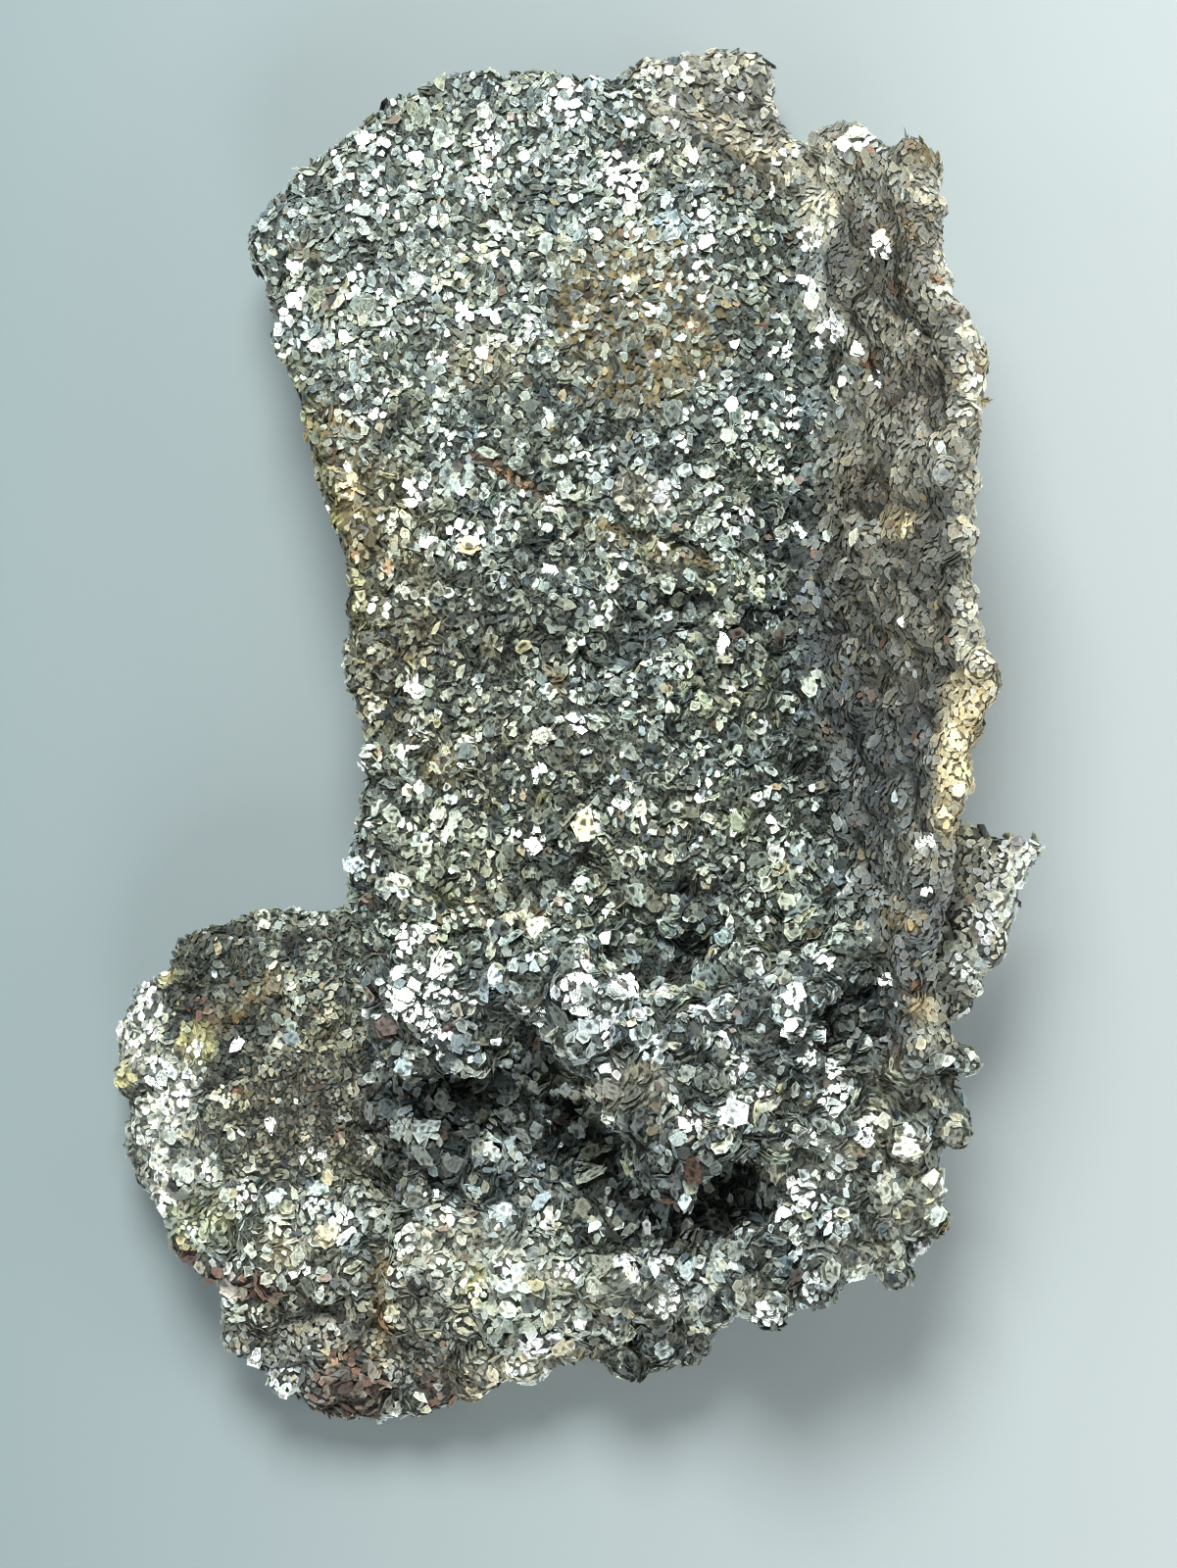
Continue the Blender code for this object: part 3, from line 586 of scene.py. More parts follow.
def scatter(mesh, count):
    # points spread evenly over a mesh by area, with the smooth normals there
    mesh.calc_loop_triangles()
    corners = np.empty(len(mesh.loop_triangles) * 3, int)
    mesh.loop_triangles.foreach_get("vertices", corners)
    corners = corners.reshape(-1, 3)
    places, normals = meshPoints(mesh, "co") / mm, meshPoints(mesh, "normal")
    a, b, c = (places[corners[:, i]] for i in range(3))
    area = np.linalg.norm(np.cross(b - a, c - a), axis=1) / 2
    picked = rng.choice(len(corners), count, p=area / area.sum())
    u, v = rng.random((2, count))
    over = u + v > 1
    u, v = np.where(over, 1 - u, u), np.where(over, 1 - v, v)
    weights = np.stack([1 - u - v, u, v], axis=1)[:, :, None]
    chosen = corners[picked]
    return (places[chosen] * weights).sum(1), unit((normals[chosen] * weights).sum(1))


def tree(points):
    found = kdtree.KDTree(len(points))
    for i, p in enumerate(points):
        found.insert(p, i)
    found.balance()
    return found


def thin(points, gaps):
    # keeps points that are at least their own gap apart, in the order they come
    near = tree(points)
    gone = np.zeros(len(points), bool)
    kept = []
    for i, p in enumerate(points):
        if gone[i]:
            continue
        kept.append(i)
        for _, j, _ in near.find_range(p, gaps[i]):
            gone[j] = True
    return np.array(kept)


def nearest(points, near):
    found = [near.find(p) for p in points]
    return np.array([f[1] for f in found]), np.array([f[2] for f in found])


def blotches(points, scale):
    # soft uneven patches, 0 to 1
    return np.array([noise.noise(Vector(p) * scale) for p in points]) * 0.5 + 0.5


# uneven colour over the whole crust
mottle = {
    "scale": 1.1,                   # of the patches in which marks are weaker or stronger
    "weakest": 0.55,
    "range": 0.9,
    "warmScale": 0.22,              # of the warmer and cooler fields
    "warm": (0.07, 0.01, -0.14),    # how far they go in red, green and blue
}


def washed(points, shares, ground=1.0):
    # colour and shine of the crust with its marks, before single scales differ; ground is the
    # painted shade of what lies between the scales, as a share of their colour, 1 for the scales
    front = frontShare(shares)
    tint = shares @ np.array([zoneLooks[name]["tint"] for name in zoneNames]) * ground
    shine = np.ones(len(points))
    patchy = mottle["weakest"] + mottle["range"] * blotches(points, mottle["scale"])
    warm = blotches(points, mottle["warmScale"])[:, None] * 2 - 1
    tint *= 1 + warm * np.array(mottle["warm"])
    for kind, look in marks.items():
        stain = look.get("stain", 0.0)
        wash = look["wash"] if ground == 1 else max(look["wash"], stain)
        cover = np.clip(marked(points, front, kind) * patchy * wash, 0, 1)
        colour = np.array(look["tint"]) * (ground + (1 - ground) * stain)
        tint += (colour - tint) * cover[:, None]
        shine *= 1 - look["dull"] * cover
    return tint, shine


# crust: the ground under the scales, a finer copy of the solid
crust = {
    "node": "hematite_cluster",
    "slot": "silvery_crust",
    "cuts": 3,                   # each face of the solid becomes (cuts + 1) squared faces
    "relax": 4,                  # passes that take the solid's flat faces away
    "relaxBy": 0.5,
    "sink": 0.34,                # how far it lies under the solid's faces
    "sinkOfDome": 0.5,           # and further under clumps, as a share of their height
    "grain": 0.14,               # height of its finest roughness
    "grainScale": 1.5,
    "grainSteps": (0.6, 2.1, 4), # how fast finer layers weaken, how much finer each is, how many
    "floorBand": 0.60,           # roughness fades out this near to the floor
    "dark": 0.06,                # painted shade: its colour as a share of the scales', dark as if no light reached between them
    "clumpTries": 60000,         # points that are tried before the thinning
    "clumpSizes": (0.65, 1.3),   # their spread, as shares of the zone's clumpSize
    "clumpHeights": (0.3, 1.5),  # and as shares of its dome
    "clumpWidth": 0.62,          # where a clump comes down to the ground, as a share of its size
    "valley": -0.3,              # how deep it is between clumps, as a share of their height
    "steepHeight": 0.40,         # a clump's height on a steep side, as a share
    "steep": (0.1, 0.6),         # upward share of the normal there, and where that ends
}


def finerCopy(solid):
    mesh = solid.data.copy()
    shape = bmesh.new()
    shape.from_mesh(mesh)
    bmesh.ops.remove_doubles(shape, verts=shape.verts, dist=mm / 1000)
    bmesh.ops.subdivide_edges(shape, edges=shape.edges, cuts=crust["cuts"], use_grid_fill=True)
    for _ in range(crust["relax"]):
        bmesh.ops.smooth_vert(shape, verts=shape.verts, factor=crust["relaxBy"],
                              use_axis_x=True, use_axis_y=True, use_axis_z=True)
    bmesh.ops.triangulate(shape, faces=shape.faces)
    shape.to_mesh(mesh)
    shape.free()
    mesh.shade_smooth()
    return mesh


def movePoints(mesh, places):
    mesh.vertices.foreach_set("co", (places * mm).ravel())
    mesh.update()


def placeClumps(mesh):
    # the clumps that scales grow in: their places, sizes, zones and heights
    places, normals = scatter(mesh, crust["clumpTries"])
    sizes = zoneValue(zoneShares(places, normals), "clumpSize")
    sizes *= rng.uniform(*crust["clumpSizes"], len(sizes))
    kept = thin(places, sizes)
    found = {"places": places[kept], "sizes": sizes[kept], "tree": tree(places[kept])}
    found["shares"] = zoneShares(places[kept], normals[kept])
    found["height"] = zoneValue(found["shares"], "dome") * rng.uniform(*crust["clumpHeights"], len(kept))
    return found


def makeCrust():
    mesh = finerCopy(frame["nodes"][crust["node"]])
    places, normals = meshPoints(mesh, "co") / mm, meshPoints(mesh, "normal")
    shares = zoneShares(places, normals)
    lift = smooth(0.0, crust["floorBand"], places[:, 2])
    depth = crust["sink"] + zoneValue(shares, "dome") * crust["sinkOfDome"]
    depth += markValue(places, frontShare(shares), "deep")
    places -= normals * (depth * lift)[:, None]
    movePoints(mesh, places)
    clumps = placeClumps(mesh)
    index, away = nearest(places, clumps["tree"])
    outward = away / clumps["sizes"][index] / crust["clumpWidth"]
    swell = clumps["height"][index] * np.maximum(1 - outward ** 2, crust["valley"])
    level = smooth(*crust["steep"], np.abs(normals[:, 2]))
    swell *= crust["steepHeight"] + (1 - crust["steepHeight"]) * level
    fine = np.array([noise.fractal(Vector(p) * crust["grainScale"], *crust["grainSteps"]) for p in places])
    places += normals * ((swell + crust["grain"] * fine) * lift)[:, None]
    places[:, 2] = np.maximum(places[:, 2], 0)
    movePoints(mesh, places)
    # the ground between the scales is painted dark: painted shade
    tint, shine = washed(places, shares, crust["dark"])
    colours = np.concatenate([tint, shine[:, None]], axis=1)
    mesh.attributes.new("groundTint", "FLOAT_COLOR", "POINT").data.foreach_set("color", colours.ravel())
    piece = bpy.data.objects.new("matrix_crust", mesh)
    bpy.context.scene.collection.objects.link(piece)
    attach(piece, "root")
    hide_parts(crust["node"])
    return piece, clumps


crustPiece, clumps = makeCrust()
print("crust:", len(crustPiece.data.polygons), "faces,", len(clumps["places"]), "clumps")


# scales: thin six-sided plates, each a flat face over a shallow keel
scales = {
    "tries": 800000,        # points that are tried before the thinning
    "gap": 0.56,            # from scale to scale, as a share of their size
    "unevenSize": 0.26,     # spread of the sizes
    "thick": 0.15,          # depth of the keel as a share of the width
    "lift": 0.28,           # how far a scale's face stands over the crust, as a share of its width
    "raggedSmall": 0.42,    # how uneven the corners of a small scale are
    "raggedLarge": 0.40,    # and of a large one
    "small": 0.3,
    "large": 1.0,
    "slopeSize": 0.78,      # size on the steep outline, as a share
    "slope": (0.45, 0.10),  # upward share of the normal where that begins and where it is whole
    "edgeOnHighlight": 1.15,     # painted highlight: how much paler the scales are that stand on edge
    "polish": 0.3,          # how far the shine of a flashing scale goes over 1
    "clumpTone": 0.30,      # how clumps differ in lightness
    "patchTone": 0.25,      # and patches of a few clumps
    "patchScale": 0.45,
    "clearOfFloor": 0.35,   # no scale grows lower than this
    "overFloor": 0.02,      # and no point of one is lower than this
}
sides = 6                   # of a scale
corners = np.arange(sides) * math.tau / sides

# the map for baking has a cell for each scale, its face on the left and its keel on the right:
# the middle of each across the cell, and how far its half width and half height reach
bakeCells = {"face": (0.33, 0.30, 0.45), "keel": (0.82, 0.15, 0.22), "wideness": 1.5}

# books: large scales that are stacks of pages
books = {
    "from": 0.80,           # size of the smallest that is one
    "share": 0.50,          # of those
    "pages": 3,
    "step": 0.085,          # from page to page
    "wider": 0.05,          # how much wider each next page is
    "slip": 0.08,
    "tilt": 0.05,
    "tones": (0.75, 1.15),
}

# clumps that lie flat to the window light and flash white together: x, y and radius
brightClumps = {
    "grip": 0.90,           # how closely their scales follow the flashing direction
    "size": 0.54,           # across a flashing scale
    "gap": 1.15,            # room round one, as a share of what others keep
    "jitter": 0.050,        # how unevenly they do
    "paintedFlash": 0.7,           # painted highlight: how far a flashing scale is painted toward the pale tint
    "smoothed": 0.7,        # and how far it loses its painted dark pits
    # the pale colour of that painted highlight
    "tint": linear(225, 230, 224),
    "ragged": (0.75, 0.5),  # the least and the spread of a clump's reach, as shares
    "raggedScale": 1.6,
    "fade": (1.0, 0.8),     # where a clump ends and where it is whole, as shares of its radius
    "spots": (
        (-0.4, 38.1, 1.6), (3.0, 33.5, 1.6), (-5.1, 36.5, 1.1), (-5.6, 33.2, 0.8), (-11.7, 35.7, 0.7),
        (-12.8, 36.0, 0.7), (-12.3, 32.7, 0.8), (-13.1, 31.5, 0.6), (-4.2, 30.2, 0.6), (-9.1, 34.8, 0.6),
        (-6.7, 25.3, 0.8), (-4.8, 25.2, 0.8), (-16.5, 26.3, 0.6), (-17.4, 24.6, 0.7), (-17.3, 23.4, 0.7),
        (-14.0, 23.9, 0.8), (-8.2, 22.3, 0.7), (4.9, 40.1, 0.8), (5.6, 37.0, 0.6), (7.7, 31.4, 1.0),
        (7.7, 28.9, 0.8), (7.4, 27.7, 0.7), (7.6, 26.2, 0.7), (3.4, 26.3, 0.7), (14.4, 30.0, 0.9),
        (12.3, 23.1, 0.9), (15.4, 24.6, 0.8), (18.1, 28.8, 0.6), (17.7, 21.1, 0.7), (16.8, 23.1, 0.5),
        (16.4, 35.0, 0.7), (9.9, 19.1, 1.3), (12.6, 19.4, 1.2), (10.6, 16.4, 0.8), (12.3, 16.1, 0.8),
        (12.9, 12.1, 1.0), (7.7, 11.6, 0.8), (9.0, 13.6, 0.7), (6.3, 19.0, 0.6), (6.4, 17.3, 0.8),
        (-7.5, 17.8, 0.7), (-11.8, 19.2, 0.6), (-9.4, 14.5, 0.9), (-6.6, 12.3, 0.8), (-5.7, 11.9, 0.7),
        (-8.7, 11.4, 0.7), (-3.4, 13.2, 0.6), (-11.6, 7.5, 0.8), (-12.9, 13.3, 0.6), (-1.1, 14.3, 0.6),
        (-9.5, 2.9, 0.7), (-6.3, -1.1, 0.8), (-4.2, -2.4, 0.5), (-2.0, -2.1, 0.6), (0.1, 0.6, 0.6),
        (-9.7, -0.2, 0.7), (8.9, 5.3, 0.6), (-8.4, -5.6, 0.6), (-3.7, -5.8, 0.7), (-2.3, -6.1, 0.7),
        (2.5, -4.3, 0.8), (7.8, -3.2, 0.7), (10.0, -4.3, 0.7), (9.4, -5.7, 0.6), (-6.0, -9.1, 0.6),
        (-10.9, -8.5, 0.6), (11.2, -11.2, 0.6), (16.8, -8.7, 0.6), (20.2, -8.7, 0.6), (20.4, -6.2, 0.7),
        (4.7, -10.8, 0.6), (-9.6, -12.0, 1.1), (-4.2, -11.8, 0.8), (1.6, -11.9, 0.6), (-9.1, -15.3, 2.3),
        (-8.1, -18.1, 1.0), (-11.4, -19.9, 0.8), (-8.4, -20.2, 0.6), (-2.5, -16.3, 0.8), (0.5, -15.0, 1.3),
        (3.0, -14.8, 0.9), (12.8, -15.3, 0.8), (13.1, -17.3, 0.8), (14.7, -17.8, 0.5), (13.7, -18.8, 0.7),
        (15.3, -19.7, 0.7), (15.4, -21.3, 1.1), (9.2, -22.1, 1.0), (6.2, -23.0, 0.7), (13.8, -23.7, 0.8),
        (17.2, -23.5, 0.7), (15.0, -24.6, 0.7), (15.9, -25.9, 0.8), (12.9, -27.4, 1.1), (15.0, -13.4, 0.5),
        (18.4, -14.4, 0.5), (23.4, -13.6, 1.0), (25.3, -10.3, 0.6), (-22.9, -18.6, 0.7), (-25.4, -21.0, 0.8),
        (-25.6, -24.2, 0.9), (-19.9, -26.6, 0.7), (-15.8, -25.2, 0.7), (-14.0, -29.5, 0.9),
        (-8.5, -28.1, 1.0), (-10.1, -30.7, 0.7), (-6.1, -32.6, 0.8), (-3.5, -32.1, 0.6),
        (-0.3, -32.5, 1.0), (-1.6, -35.3, 1.0), (-16.6, -32.4, 0.7), (-19.4, -37.8, 0.5),
        (5.6, -34.1, 1.2), (11.4, -34.4, 1.2), (14.3, -32.6, 0.9),
    ),
}


def flashDirection():
    # the way a scale faces that mirrors the window straight up
    window = Vector(studio["lights"]["windowSide"]["from"]).normalized()
    return np.array((window + Vector((0, 0, 1))).normalized())


def chooseFlashes(points, normals, shares):
    # which scales mirror the window: the bright clumps and some single ones
    least, spread = brightClumps["ragged"]
    gone, whole = brightClumps["fade"]
    uneven = least + spread * blotches(points, brightClumps["raggedScale"])
    pull = np.zeros(len(points))
    for x, y, radius in brightClumps["spots"]:
        away = np.hypot(points[:, 0] - x, points[:, 1] - y) * uneven
        pull = np.maximum(pull, smooth(radius * gone, radius * whole, away))
    pull *= rng.random(len(points)) < zoneValue(shares, "gather")
    pull[rng.random(len(points)) < zoneValue(shares, "flash")] = 1
    return pull * frontShare(shares) * (normals[:, 2] > 0.2)    # none on steep or hanging places


def placeScales():
    points, normals = scatter(crustPiece.data, scales["tries"])
    shares = zoneShares(points, normals)
    size = zoneValue(shares, "size") * np.exp(rng.normal(0, scales["unevenSize"], len(points)))
    for kind, look in marks.items():
        if "size" in look:
            size *= 1 + (look["size"] - 1) * marked(points, frontShare(shares), kind)
    size *= 1 - (1 - scales["slopeSize"]) * smooth(*scales["slope"], np.abs(normals[:, 2]))
    pull = chooseFlashes(points, normals, shares)
    flashSize = brightClumps["size"] * np.exp(rng.normal(0, scales["unevenSize"], len(points)))
    size += (flashSize - size) * pull
    kept = thin(points, size * scales["gap"] * (1 + (brightClumps["gap"] - 1) * pull))
    points, normals, shares, size, pull = (x[kept] for x in (points, normals, shares, size, pull))
    bare = rng.random(len(points)) < markValue(points, frontShare(shares), "bare")
    stay = (points[:, 2] > scales["clearOfFloor"]) & ~bare
    return [x[stay] for x in (points, normals, shares, size, pull)]


# how scales lean, as slopes beside the zone's own amounts
leaning = {
    "rose": 3.0,        # how much further the scales of a rosette lean out
    "onEdge": 1.9,      # spread of the scales that stand
    "single": 0.72,     # share of a single scale's spread along each axis
    "outward": 0.15,    # least share of its facing that points out of the crust
}


def leanScales(points, normals, shares, pull):
    count = len(points)
    index, _ = nearest(points, clumps["tree"])
    total = len(clumps["places"])
    clumpLean = unit(rng.normal(size=(total, 3)))
    clumpAmount = np.abs(rng.normal(size=total))
    rose = rng.random(total) < zoneValue(clumps["shares"], "rose")
    loose = 1 - markValue(points, frontShare(shares), "calm")
    clump = np.tan(np.radians(zoneValue(shares, "clump"))) * clumpAmount[index] * loose
    single = np.tan(np.radians(zoneValue(shares, "spread"))) * loose
    out = (points - clumps["places"][index]) / clumps["sizes"][index][:, None]
    fan = zoneValue(shares, "fan") * np.where(rose[index], leaning["rose"], 1.0) * loose
    lean = normals + clumpLean[index] * clump[:, None] + out * fan[:, None]
    onEdge = rng.random(count) < zoneValue(shares, "edgeOn") * loose
    single = np.where(onEdge, leaning["onEdge"], single)
    lean += rng.normal(size=(count, 3)) * (single * leaning["single"])[:, None]
    lean[:, 1] += zoneValue(shares, "back")
    # the ones that flash all face one way
    pull = pull * brightClumps["grip"]
    steady = flashDirection() + rng.normal(size=(count, 3)) * brightClumps["jitter"]
    lean = unit(unit(lean) * (1 - pull[:, None]) + steady * pull[:, None])
    # a scale that would face into the crust is turned out of it
    inward = leaning["outward"] - (lean * normals).sum(1)
    return unit(lean + normals * np.maximum(inward, 0)[:, None]), onEdge


# single odd scales, anywhere: their share, colour, how far it covers and dullness
oddScales = {
    "rusty": {"share": 0.012, "tint": linear(118, 82, 66), "cover": 0.7, "dull": 0.6},
    "sandy": {"share": 0.020, "tint": linear(176, 162, 130), "cover": 0.7, "dull": 0.8},
    "bright": {"share": 0.015, "tint": linear(222, 230, 222), "cover": 0.7, "dull": 0.5},
}

# how single scales differ beside their zone's own values
tones = {
    "dullShine": 0.3,             # shine that a dull scale keeps
    "markCover": 0.75,            # how far a scale takes the tint of a mark that it shares
    "markDull": (0.6, 1.0),       # and its dullness
    "hollowShade": (0.25, 0.60),       # where a clump's painted light ends and the painted shade of the hollow round it begins
    "hollowShadeMiddle": 0.4,          # where between them neither painted light nor painted shade is added
    "slate": linear(44, 52, 56),
    "slateCover": 0.85,
    "warm": (0.05, 0.005, -0.07),
    "seen": (0.15, 1.6),          # least and most lightness as it is seen
    "toLight": 2.2,               # power that makes light values of it
    "lightest": 0.95,
}


def toned(tint, taken, other, cover):
    tint[taken] += (np.array(other) - tint[taken]) * cover


def scaleTints(points, shares):
    count = len(points)
    front = frontShare(shares)
    tint, shine = washed(points, shares)
    shine *= np.where(rng.random(count) < zoneValue(shares, "dull"), tones["dullShine"], 1.0)
    for kind, look in marks.items():
        if "share" in look:
            taken = rng.random(count) < look["share"] * marked(points, front, kind)
            toned(tint, taken, look["tint"], tones["markCover"])
            shine[taken] *= 1 - look["dull"] * rng.uniform(*tones["markDull"], taken.sum())
    for odd in oddScales.values():
        taken = rng.random(count) < odd["share"]
        toned(tint, taken, odd["tint"], odd["cover"])
        shine[taken] *= 1 - odd["dull"]
    # painted light and shade: each clump's middle is painted lighter and the hollows between clumps darker
    index, away = nearest(points, clumps["tree"])
    low = smooth(*tones["hollowShade"], away / clumps["sizes"][index])
    tone = np.exp(rng.normal(0, scales["clumpTone"], len(clumps["places"])))[index]
    tone *= 1 + (tones["hollowShadeMiddle"] - low) * zoneValue(shares, "hollowShade")
    tone *= np.exp(scales["patchTone"] * (blotches(points, scales["patchScale"]) * 2 - 1))
    tint *= tone[:, None]
    toned(tint, rng.random(count) < zoneValue(shares, "slate"), tones["slate"], tones["slateCover"])
    tint *= 1 + rng.normal(0, 1, (count, 1)) * np.array(tones["warm"])
    seen = np.clip(1 + rng.normal(size=count) * zoneValue(shares, "uneven"), *tones["seen"])
    tint = tint * (seen ** tones["toLight"])[:, None]
    return np.clip(tint, 0, tones["lightest"]), shine


def addPages(points, faces, size, tints, shine, pits, groups):
    # the pages of a book lie under its first scale, each a little wider and slipped aside
    chosen = np.flatnonzero((size > books["from"]) & (rng.random(len(size)) < books["share"]))
    sets = [(points, faces, size, tints, shine, pits, groups)]
    for page in range(1, books["pages"] + 1):
        slip = rng.normal(size=(len(chosen), 3)) * books["slip"]
        under = points[chosen] - faces[chosen] * (books["step"] * page) + slip
        tilted = unit(faces[chosen] + rng.normal(size=(len(chosen), 3)) * books["tilt"])
        tone = tints[chosen] * rng.uniform(*books["tones"], (len(chosen), 1))
        wide = size[chosen] * (1 + books["wider"] * page)
        sets.append((under, tilted, wide, np.clip(tone, 0, tones["lightest"]),
                     shine[chosen], pits[chosen], groups[chosen]))
    return [np.concatenate(parts) for parts in zip(*sets)]


def flatMesh(name, places, loops, starts):
    mesh = bpy.data.meshes.new(name)
    mesh.vertices.add(len(places))
    mesh.vertices.foreach_set("co", places.ravel())
    mesh.loops.add(len(loops))
    mesh.loops.foreach_set("vertex_index", loops)
    mesh.polygons.add(len(starts))
    mesh.polygons.foreach_set("loop_start", starts)
    mesh.update(calc_edges=True)
    mesh.shade_flat()
    return mesh


def scaleShapes(points, faces, size):
    # the points of every scale: its ragged rim and then its keel's tip
    count = len(points)
    helper = np.where(np.abs(faces[:, 2:3]) < 0.9, (0.0, 0.0, 1.0), (1.0, 0.0, 0.0))
    across = unit(np.cross(helper, faces))
    along = np.cross(faces, across)
    ends = (scales["small"], scales["large"]), (scales["raggedSmall"], scales["raggedLarge"])
    ragged = np.interp(size, *ends)[:, None]
    turn = rng.uniform(0, math.tau, (count, 1)) + corners + rng.uniform(-0.5, 0.5, (count, sides)) * ragged
    reach = size[:, None] / 2 * (1 + rng.uniform(-1, 1, (count, sides)) * ragged)
    narrow = 1 - rng.uniform(0, 1, (count, 1)) * ragged
    flatX, flatY = np.cos(turn) * reach, np.sin(turn) * reach * narrow
    middle = points + faces * (size * scales["lift"])[:, None]
    rim = middle[:, None] + flatX[:, :, None] * across[:, None] + flatY[:, :, None] * along[:, None]
    keel = middle - faces * (size * scales["thick"])[:, None]
    places = np.concatenate([rim, keel[:, None]], axis=1)
    places[:, :, 2] = np.maximum(places[:, :, 2], scales["overFloor"])
    return places


def scaleMaps(mesh, count):
    # the scale's own map: a regular hexagon, so that the shader knows how near the rim is
    top = np.stack([np.cos(corners), np.sin(corners)], axis=1)
    keel = np.zeros((sides, 3, 2))
    keel[:, 0] = np.roll(top, -1, axis=0)
    keel[:, 1] = top
    own = np.concatenate([top, keel.reshape(-1, 2)])
    mesh.uv_layers.new(name="across").data.foreach_set("uv", np.tile(own.ravel(), count))
    # and the map for baking
    columns = math.ceil(math.sqrt(count / bakeCells["wideness"]))
    rows = math.ceil(count / columns)
    cellX, cellY = (np.arange(count) % columns)[:, None], (np.arange(count) // columns)[:, None]
    baked = np.empty((count, len(own), 2))
    for part, cell in ((slice(sides), "face"), (slice(sides, None), "keel")):
        middle, halfWidth, halfHeight = bakeCells[cell]
        baked[:, part, 0] = (cellX + middle + own[part, 0] * halfWidth) / columns
        baked[:, part, 1] = (cellY + 0.5 + own[part, 1] * halfHeight) / rows
    mesh.uv_layers.new(name="OFBake").data.foreach_set("uv", baked.ravel())


def makeScales(name, points, faces, size, tints, shine, pits):
    count = len(points)
    places = scaleShapes(points, faces, size)
    # a scale is one face of six points, and six triangles from its rim to its keel's tip
    first = (np.arange(count) * (sides + 1))[:, None]
    ring = np.arange(sides)
    under = np.stack([(ring + 1) % sides, ring, np.full(sides, sides)], axis=1).ravel()
    loops = np.concatenate([first + ring, first + under], axis=1)
    starts = np.arange(count)[:, None] * loops.shape[1] + np.concatenate([[0], sides + ring * 3])
    mesh = flatMesh(name, (places * mm).reshape(-1, 3), loops.ravel(), starts.ravel())
    scaleMaps(mesh, count)
    perFace = np.repeat(np.concatenate([tints, shine[:, None]], axis=1), sides + 1, axis=0)
    mesh.attributes.new("scaleTint", "FLOAT_COLOR", "FACE").data.foreach_set("color", perFace.ravel())
    mesh.attributes.new("pits", "FLOAT", "FACE").data.foreach_set("value", np.repeat(pits, sides + 1))
    piece = bpy.data.objects.new(name, mesh)
    bpy.context.scene.collection.objects.link(piece)
    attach(piece, "root")
    return piece


def growScales():
    points, normals, shares, size, pull = placeScales()
    faces, onEdge = leanScales(points, normals, shares, pull)
    tints, shine = scaleTints(points, shares)
    # painted highlight: scales that stand on edge are painted paler
    tints[onEdge] *= scales["edgeOnHighlight"]
    # a scale that flashes mirrors the window, and is also painted pale: painted highlight
    tints += (np.array(brightClumps["tint"]) - tints) * (pull * brightClumps["paintedFlash"])[:, None]
    shine = np.maximum(shine, pull) + scales["polish"] * pull
    share = {name: shares[:, i] for i, name in enumerate(zoneNames)}
    parts = {
        "upper_plate_scales": share["plateTop"],
        "lower_plate_scales": share["plateMiddle"] + share["plateFoot"],
        "standing_wall_scales": share["wall"] + share["fin"],
        "lower_lump_scales": share["lumps"],
        "wing_scales": share["wing"] + share["wingFoot"],
        "upper_back_scales": share["back"] * (points[:, 1] > 0),
        "lower_back_scales": share["back"] * (points[:, 1] <= 0),
    }
    groups = np.argmax(np.stack(list(parts.values()), axis=1), axis=1)
    # strength of the painted pits and pale threads, less on the scales that flash
    pits = zoneValue(shares, "pits") * (1 - pull * brightClumps["smoothed"])
    grown = addPages(points, faces, size, tints, shine, pits, groups)
    groups = grown.pop()
    pieces = []
    for i, name in enumerate(parts):
        members = groups == i
        pieces.append(makeScales(name, *(values[members] for values in grown)))
        print(name, members.sum())
    return pieces


scalePieces = growScales()
print("scales grown:", sum(len(piece.data.vertices) // (sides + 1) for piece in scalePieces))


# finishes
scaleFinish = {
    "metal": 0.70,
    "roughness": 0.25,
    "dullRoughness": 0.55,
    "rimHighlight": 0.9,                # painted highlight: how much lighter the thin rims are
    "rim": (0.66, 0.96),            # where the pale rim starts and is whole, 0 the middle and 1 the edge
    "rimCover": 0.38,
    "rimDull": 0.45,                # how much less metal shows at the rim
    "stepsPerScale": 2.6,           # growth steps between the middle and the rim
    "step": (0.80, 0.98),           # the painted pale line at the end of each, as shares of a step
    "stepCover": 0.14,
    "streaks": (1.6, 4.5, 700.0),   # how close they lie along and across, and how scales differ
    "streakEnds": (0.32, 0.68),     # noise of the darkest and the lightest
    "feather": 0.32,                # how much darker and lighter they are
    "laceScale": 1900,              # painted highlight and shade: pale threads round dark pits, over all scales, per metre
    "lacePits": (0.10, 0.32),       # where the pits begin and are deepest
    "laceLight": 1.35,              # how light the threads are
    "laceDark": 0.22,               # and the pits
    "glintScale": 6000,             # small faces on each scale, per metre
    "glintTurn": 0.26,
    "bump": 0.6,
    "bumpDepth": 0.05,
}


def toward(nodes, links, colour, other, amount):
    # a colour mixed toward a fixed one
    node = addNode(nodes, "Mix", data_type="RGBA")
    links.new(amount, node.inputs[0])
    links.new(colour, node.inputs[6])
    node.inputs[7].default_value = (*other, 1)
    return node.outputs[2]


def glint(nodes, links, place, scale, amount):
    # small mirror faces: every cell of a pattern turns the surface its own way
    cells = addNode(nodes, "TexVoronoi", Scale=scale)
    links.new(place.outputs["Object"], cells.inputs["Vector"])
    centred = vectorSums(nodes, links, "SUBTRACT", cells.outputs["Color"], (0.5, 0.5, 0.5))
    surface = addNode(nodes, "NewGeometry")
    turned = scaled(nodes, links, centred, amount)
    added = vectorSums(nodes, links, "ADD", surface.outputs["Normal"], turned)
    return cells, vectorSums(nodes, links, "NORMALIZE", added)


